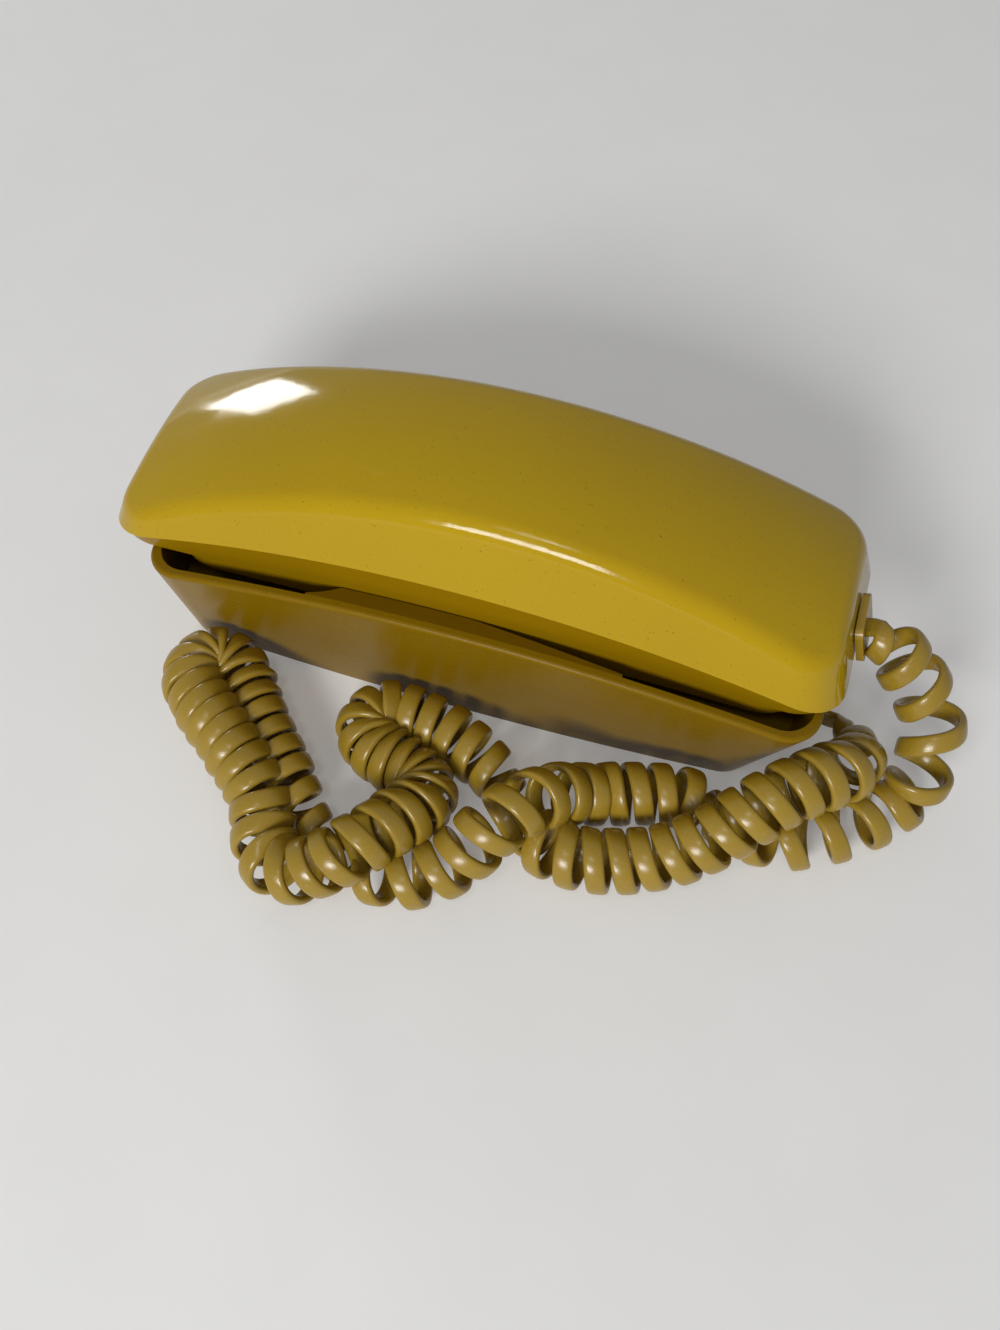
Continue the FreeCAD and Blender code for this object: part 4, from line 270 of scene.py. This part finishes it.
class Reading:
    """One socket of a material, so that arithmetic on it adds Math nodes."""

    def __init__(self, tree, socket):
        self.tree = tree
        self.socket = socket

    def node(self, kind, settings=(), sockets=(), out=0):
        """Any node: its type, its settings, which are set first, and its sockets' values or links."""
        made = self.tree.nodes.new(kind)
        for name, value in dict(settings).items():
            setattr(made, name, value)
        for name, value in dict(sockets).items():
            if isinstance(value, Reading):
                self.tree.links.new(value.socket, made.inputs[name])
            else:
                made.inputs[name].default_value = value
        return Reading(self.tree, made.outputs[out])

    def math(self, operation, *values):
        """A Math node on these values."""
        return self.node("ShaderNodeMath", {"operation": operation}, dict(enumerate(values)))

    def __add__(self, other):
        return self.math("ADD", self, other)

    __radd__ = __add__

    def __sub__(self, other):
        return self.math("SUBTRACT", self, other)

    def __rsub__(self, other):
        return self.math("SUBTRACT", other, self)

    def __mul__(self, other):
        return self.math("MULTIPLY", self, other)

    __rmul__ = __mul__

    def between(self, low, high):
        """Zero at low and one at high, clamped and smooth."""
        return self.node("ShaderNodeMapRange", {"interpolation_type": "SMOOTHSTEP"},
                         {"Value": self, "From Min": low, "From Max": high})

    def mix(self, one, other):
        """A colour from one to the other as this reading goes from 0 to 1."""
        return self.node("ShaderNodeMix", {"data_type": "RGBA"}, {0: self, 6: one, 7: other}, out=2)

    def noise(self, scale, detail=2.0, roughness=0.5, stretch=(1, 1, 1)):
        """Noise on this vector, at so many features a metre, stretched along the axes."""
        moved = self.node("ShaderNodeMapping", {"vector_type": "POINT"}, {"Vector": self, "Scale": stretch})
        return self.node("ShaderNodeTexNoise", {}, {
            "Vector": moved, "Scale": scale, "Detail": detail, "Roughness": roughness})

    def bump(self, height, distance):
        """A normal from a height reading, with full height of so many metres."""
        return self.node("ShaderNodeBump", {}, {"Height": height, "Distance": distance, "Strength": 1.0})


def colour(red, green, blue):
    """A colour written as it shows on a screen, 0 to 255, made linear for the shader."""
    parts = [c / 255 / 12.92 if c < 10 else ((c / 255 + 0.055) / 1.055) ** 2.4 for c in (red, green, blue)]
    return (*parts, 1.0)


def new_material(name, **constants):
    """A material whose shader has these constant values: its object place and its shader."""
    material = bpy.data.materials.new(name)
    material.use_nodes = True
    tree = material.node_tree
    shader = tree.nodes["Principled BSDF"]
    for socket, value in constants.items():
        shader.inputs[socket.replace("_", " ")].default_value = value
    place = tree.nodes.new("ShaderNodeTexCoord")
    return material, Reading(tree, place.outputs["Object"]), shader


def drive(shader, **readings):
    """Link readings to the shader's sockets."""
    for socket, reading in readings.items():
        reading.tree.links.new(reading.socket, shader.inputs[socket.replace("_", " ")])


def dress(material, *names):
    """Give CAD nodes this material in every slot."""
    for name in names:
        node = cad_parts[name]
        if not node.data.materials:
            node.data.materials.append(material)
        for slot in node.material_slots:
            slot.material = material


def vinyl():
    """Soft vinyl: tan, glossy, in uneven patches, with a fine skin and a little dust."""
    material, place, shader = new_material("tan_vinyl", Roughness=0.3, IOR=1.52)
    patches = place.noise(60, 3)
    dust = place.noise(900, 2).between(0.56, 0.7)
    tone = patches.mix(colour(148, 119, 30), colour(166, 136, 42))
    drive(shader, Base_Color=(dust * 0.12).mix(tone, colour(184, 160, 92)),
          Roughness=0.2 + patches * 0.14,
          Normal=place.bump(place.noise(1600, 2) * 0.6 + place.noise(220, 2) * 0.4, 0.00005))
    return material


tan_vinyl = vinyl()
cord.data.materials.append(tan_vinyl)
dress(tan_vinyl, "handset_cord_grommet", "base_cord_grommet", "cord_riser", "cord_back_run",
      "cord_ear_loop", "cord_middle_loop", "cord_front_run")


# Housing and handset shells: injection moulded ABS in a harvest gold, about 3 mm thick, polished
# by the mould and by years of hands, with fine scratches, specks of dirt and a few dull smudges.
def gold_abs(name, light, deep, shine, gloss):
    """Glossy coloured ABS with flow tone, fine hairlines, specks of dirt and dulled patches."""
    material, place, shader = new_material(name, IOR=1.53, Specular_IOR_Level=gloss)
    broad = place.noise(14, 3)
    smudge = place.noise(38, 4, 0.6).between(0.52, 0.72)
    speck = place.noise(1400, 1).between(0.72, 0.77)
    hairline = place.noise(900, 2, 0.5, (0.1, 1.0, 0.6)).between(0.68, 0.76)
    tone = broad.mix(light, deep)
    tone = (speck * 0.6).mix(tone, colour(66, 48, 12))
    drive(shader, Base_Color=(hairline * 0.06).mix(tone, colour(206, 182, 90)),
          Roughness=shine + smudge * 0.1 + hairline * 0.06 + broad * 0.04,
          Normal=place.bump(place.noise(700, 2) * 0.35 + place.noise(90, 2) * 0.4, 0.00003))
    return material


# The base is the same harvest gold plastic as the handset. Its darker copy of that colour is painted shade,
# standing in for the shade on its downward facing sides.
dress(gold_abs("base_gold_painted_shade", colour(136, 105, 4), colour(125, 95, 3), 0.25, 0.11), "base_housing")
dress(gold_abs("handset_gold", colour(190, 157, 1), colour(176, 142, 1), 0.085, 0.27), "handset_back_shell")
# The front shell is the same harvest gold plastic too. Its darker copy of the colour is painted shade,
# standing in for the shadow on the band below the parting line.
dress(gold_abs("face_gold_painted_shade", colour(152, 118, 4), colour(140, 106, 3), 0.22, 0.25), "handset_front_shell")


# Moulded inner parts: cream thermoplastic keys, bezel, plunger, lever and plug, and the black
# phenolic of the receiver, transmitter, switch block and wheel. Small mouldings from steel tools.
def moulding(name, light, deep, shine, grain):
    """Plain moulded plastic: two close tones, the fine grain of the tool and rubbed patches."""
    material, place, shader = new_material(name, IOR=1.5)
    rubbed = place.noise(120, 3).between(0.5, 0.7)
    pits = place.noise(grain, 2)
    drive(shader, Base_Color=place.noise(45, 3).mix(light, deep),
          Roughness=shine - rubbed * 0.12 + pits * 0.08, Normal=place.bump(pits, 0.00003))
    return material


key_names = ["1", "2", "3", "4", "5", "6", "7", "8", "9", "star", "0", "pound"]
dress(moulding("key_cream", colour(226, 218, 196), colour(214, 204, 178), 0.34, 1500),
      *["key_" + name for name in key_names], "recall_button")
dress(moulding("inner_cream", colour(206, 196, 168), colour(192, 181, 150), 0.5, 800),
      "keypad_frame", "hook_plunger", "hook_lever", "wall_plug", "transmitter_cup")
dress(moulding("phenolic_black", colour(34, 32, 30), colour(24, 23, 22), 0.38, 1100),
      "receiver_unit", "transmitter_unit", "hook_contacts", "volume_wheel")


# Metalwork: zinc plated pressings and screws, a bright spring clip, the drawn capacitor can and the
# lacquered brass gong with its clapper. Pressed or turned, then plated or lacquered.
def metal(name, light, deep, shine, brushing, tarnish):
    """Bare or plated metal with brushing lines one way and patches of tarnish."""
    material, place, shader = new_material(name, Metallic=1.0)
    lines = place.noise(260, 3, 0.6, brushing)
    stain = place.noise(55, 4, 0.6).between(0.55, 0.75)
    drive(shader, Base_Color=(stain * 0.5).mix(lines.mix(light, deep), tarnish),
          Roughness=shine + lines * 0.14 + stain * 0.15, Normal=place.bump(lines, 0.00002))
    return material


dress(metal("zinc_plate", colour(196, 196, 192), colour(176, 177, 174), 0.28, (1, 8, 1),
            colour(150, 144, 128)),
      "wall_plate", "wall_plate_screws", "hook_pin", "hook_bracket", "ringer_frame", "clapper_pin",
      "volume_wheel_stud", "handset_screws")
dress(metal("spring_steel", colour(186, 186, 184), colour(164, 164, 163), 0.22, (8, 1, 1),
            colour(120, 116, 110)), "receiver_clip")
dress(metal("drawn_can", colour(205, 206, 206), colour(190, 190, 192), 0.3, (1, 1, 9),
            colour(168, 166, 160)), "capacitor")
dress(metal("gong_brass", colour(206, 170, 92), colour(188, 150, 74), 0.2, (1, 1, 6),
            colour(130, 98, 50)), "ringer_gong", "ringer_clapper")


# Circuit boards: phenolic paper, brown, with copper tracks under a green-gold varnish on both
# faces. The tracks run square, in short lengths.
def board():
    """Brown phenolic paper with varnished square tracks and bright solder dots."""
    material, place, shader = new_material("phenolic_board", IOR=1.5)
    across = place.noise(420, 0, 0.5, (1, 0.18, 1)).between(0.52, 0.54)
    along = place.noise(420, 0, 0.5, (0.18, 1, 1)).between(0.55, 0.57)
    track = across.math("MAXIMUM", across, along)
    dots = place.node("ShaderNodeTexVoronoi", {}, {"Vector": place, "Scale": 190.0})
    solder = 1 - dots.between(0.12, 0.16)
    paper = place.noise(300, 4).mix(colour(126, 92, 48), colour(106, 76, 38))
    varnished = (track * 0.75).mix(paper, colour(150, 124, 52))
    drive(shader, Base_Color=solder.mix(varnished, colour(188, 188, 184)), Metallic=solder * 0.9,
          Roughness=0.42 - track * 0.12 + solder * 0.05,
          Normal=place.bump(track * 0.5 + solder, 0.00012))
    return material


dress(board(), "network_board", "keypad_board", "handset_circuit_board")


# Coils: enamelled copper wire in level layers under a coat of amber varnish.
def winding():
    """Fine copper turns under varnish: bands a quarter of a millimetre apart, slightly uneven, with painted
    shade darkening the groove between each turn.
    """
    material, place, shader = new_material("copper_winding", Coat_Weight=0.6, Coat_Roughness=0.15)
    turns = place.node("ShaderNodeTexWave", {"bands_direction": "X", "wave_profile": "SIN"},
                       {"Vector": place, "Scale": 640.0, "Distortion": 0.6, "Detail": 1.0}, out=1)
    # The colour runs dark where the bump dips between turns: painted shade in the grooves, with copper's
    # own tone on the crowns.
    drive(shader, Base_Color=turns.mix(colour(92, 40, 14), colour(176, 96, 46)),
          Roughness=0.3 + place.noise(80, 3) * 0.2, Normal=place.bump(turns, 0.0001))
    return material


dress(winding(), "induction_coil", "ringer_coil")


# Number card and its clear window, and the keypad's lamp. The card is plain paper behind clear
# polycarbonate; the lamp is a small frosted bulb.
def paper():
    """Off-white card with fine fibres and a little foxing."""
    material, place, shader = new_material("card_paper", Roughness=0.85)
    fibres = place.noise(1200, 4, 0.7, (1, 0.3, 1))
    foxing = place.noise(70, 3).between(0.6, 0.8)
    drive(shader, Base_Color=(foxing * 0.35).mix(fibres.mix(colour(228, 224, 208), colour(216, 211, 192)),
                                                 colour(196, 176, 132)),
          Normal=place.bump(fibres, 0.00004))
    return material


def clear(name, tint, alpha, shine, frost):
    """A thin clear piece: faint tint, mostly see-through, with fine wipe marks."""
    material, place, shader = new_material(name, Alpha=alpha, IOR=1.58)
    marks = place.noise(500, 3, 0.6, (0.1, 1, 1)).between(0.55, 0.75)
    drive(shader, Base_Color=place.noise(60, 2).mix(tint, colour(240, 240, 232)),
          Roughness=shine + marks * frost)
    return material


dress(paper(), "number_card")
dress(clear("card_window", colour(236, 238, 232), 0.3, 0.06, 0.12), "number_window")
dress(clear("lamp_glass", colour(244, 236, 206), 0.6, 0.35, 0.2), "keypad_lamp")


# Key numbers: plain figures hot printed on the caps, a tenth of a millimetre thick, one to a key.
def key_figure(name, figure):
    """The figure of one key, drawn with the built-in type and turned to face down."""
    low, high = (np.array(corner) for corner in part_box("key_" + name))
    drawn = bpy.data.curves.new("figure_" + name, "FONT")
    drawn.body = figure
    drawn.size = figure_share * (high - low)[:2].min()
    drawn.extrude = figure_thickness / 2
    drawn.align_x = "CENTER"
    drawn.align_y = "CENTER"
    holder = bpy.data.objects.new("figure_" + name, drawn)
    mesh = bpy.data.meshes.new_from_object(holder)
    bpy.data.objects.remove(holder)
    # Seen from below, the figure's top points to the ear end.
    middle = (low + high) / 2
    mesh.transform(Matrix.Translation((middle[0], middle[1], low[2]))
                   @ Matrix(((0, -1, 0, 0), (-1, 0, 0, 0), (0, 0, -1, 0), (0, 0, 0, 1))))
    mesh.materials.clear()
    mesh.materials.append(ink)
    figure_piece = bpy.data.objects.new("figure_" + name, mesh)
    bpy.context.collection.objects.link(figure_piece)
    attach(figure_piece, "key_" + name)


figure_thickness = 0.00012
figure_share = 0.62
ink = moulding("figure_ink", colour(52, 46, 40), colour(38, 34, 30), 0.5, 1800)
for name in key_names:
    key_figure(name, {"star": "*", "pound": "#"}.get(name, name))


# Floor and light: the pale surface that the telephone lies on, a window's light from behind the
# earpiece, and two soft boxes from the front and above.
def looked_at(place):
    """One for camera, mirrored and transmitted rays, and zero for the rays that light things."""
    seen, mirrored, through = [place.node("ShaderNodeLightPath", out=kind) for kind in
                               ("Is Camera Ray", "Is Glossy Ray", "Is Transmission Ray")]
    return seen.math("MAXIMUM", seen.math("MAXIMUM", seen, mirrored), through)


def pale_floor():
    """Matt, nearly white, with the faintest grain, and lifted a little where it is looked at."""
    material, place, shader = new_material("pale_floor", Roughness=0.9, Emission_Strength=0.16)
    drive(shader, Base_Color=place.noise(30, 2).mix(colour(226, 225, 222), colour(232, 231, 229)),
          Emission_Color=looked_at(place).mix(colour(0, 0, 0), colour(255, 255, 255)))
    return material


reach = 6.0
floor_mesh = bpy.data.meshes.new("floor")
floor_mesh.from_pydata([(-reach, -reach, 0), (reach, -reach, 0), (reach, reach, 0), (-reach, reach, 0)],
                       [], [(0, 1, 2, 3)])
floor_mesh.materials.append(pale_floor())
floor = bpy.data.objects.new("floor", floor_mesh)
bpy.context.collection.objects.link(floor)


def area_light(name, place, aim, size, watts):
    """A rectangular soft box that faces its aim."""
    lamp = bpy.data.lights.new(name, "AREA")
    lamp.shape = "RECTANGLE"
    lamp.size, lamp.size_y = size
    lamp.energy = watts
    holder = bpy.data.objects.new(name, lamp)
    holder.matrix_world = (Matrix.Translation(place)
                           @ (Vector(aim) - Vector(place)).to_track_quat("-Z", "Y").to_matrix().to_4x4())
    bpy.context.collection.objects.link(holder)


area_light("window", (-1.2, 1.13, 0.3), (-0.078, 0.008, 0.071), (0.32, 0.4), 6)
area_light("front", (-0.15, -1.65, 0.98), (0, 0, 0.04), (0.7, 0.5), 24)
area_light("ceiling", (-0.02, -0.66, 1.5), (0.01, -0.02, 0.08), (0.26, 0.26), 1.6)

world = bpy.data.worlds.new("room")
bpy.context.scene.world = world
world.use_nodes = True
sky = world.node_tree.nodes["Background"]
sky.inputs["Color"].default_value = (0.97, 0.98, 1.0, 1.0)
sky_light, sky_shown = 0.2, 0.45
strength = sky_light + looked_at(Reading(world.node_tree, None)) * (sky_shown - sky_light)
world.node_tree.links.new(strength.socket, sky.inputs["Strength"])
bpy.context.scene.view_settings.view_transform = "Standard"
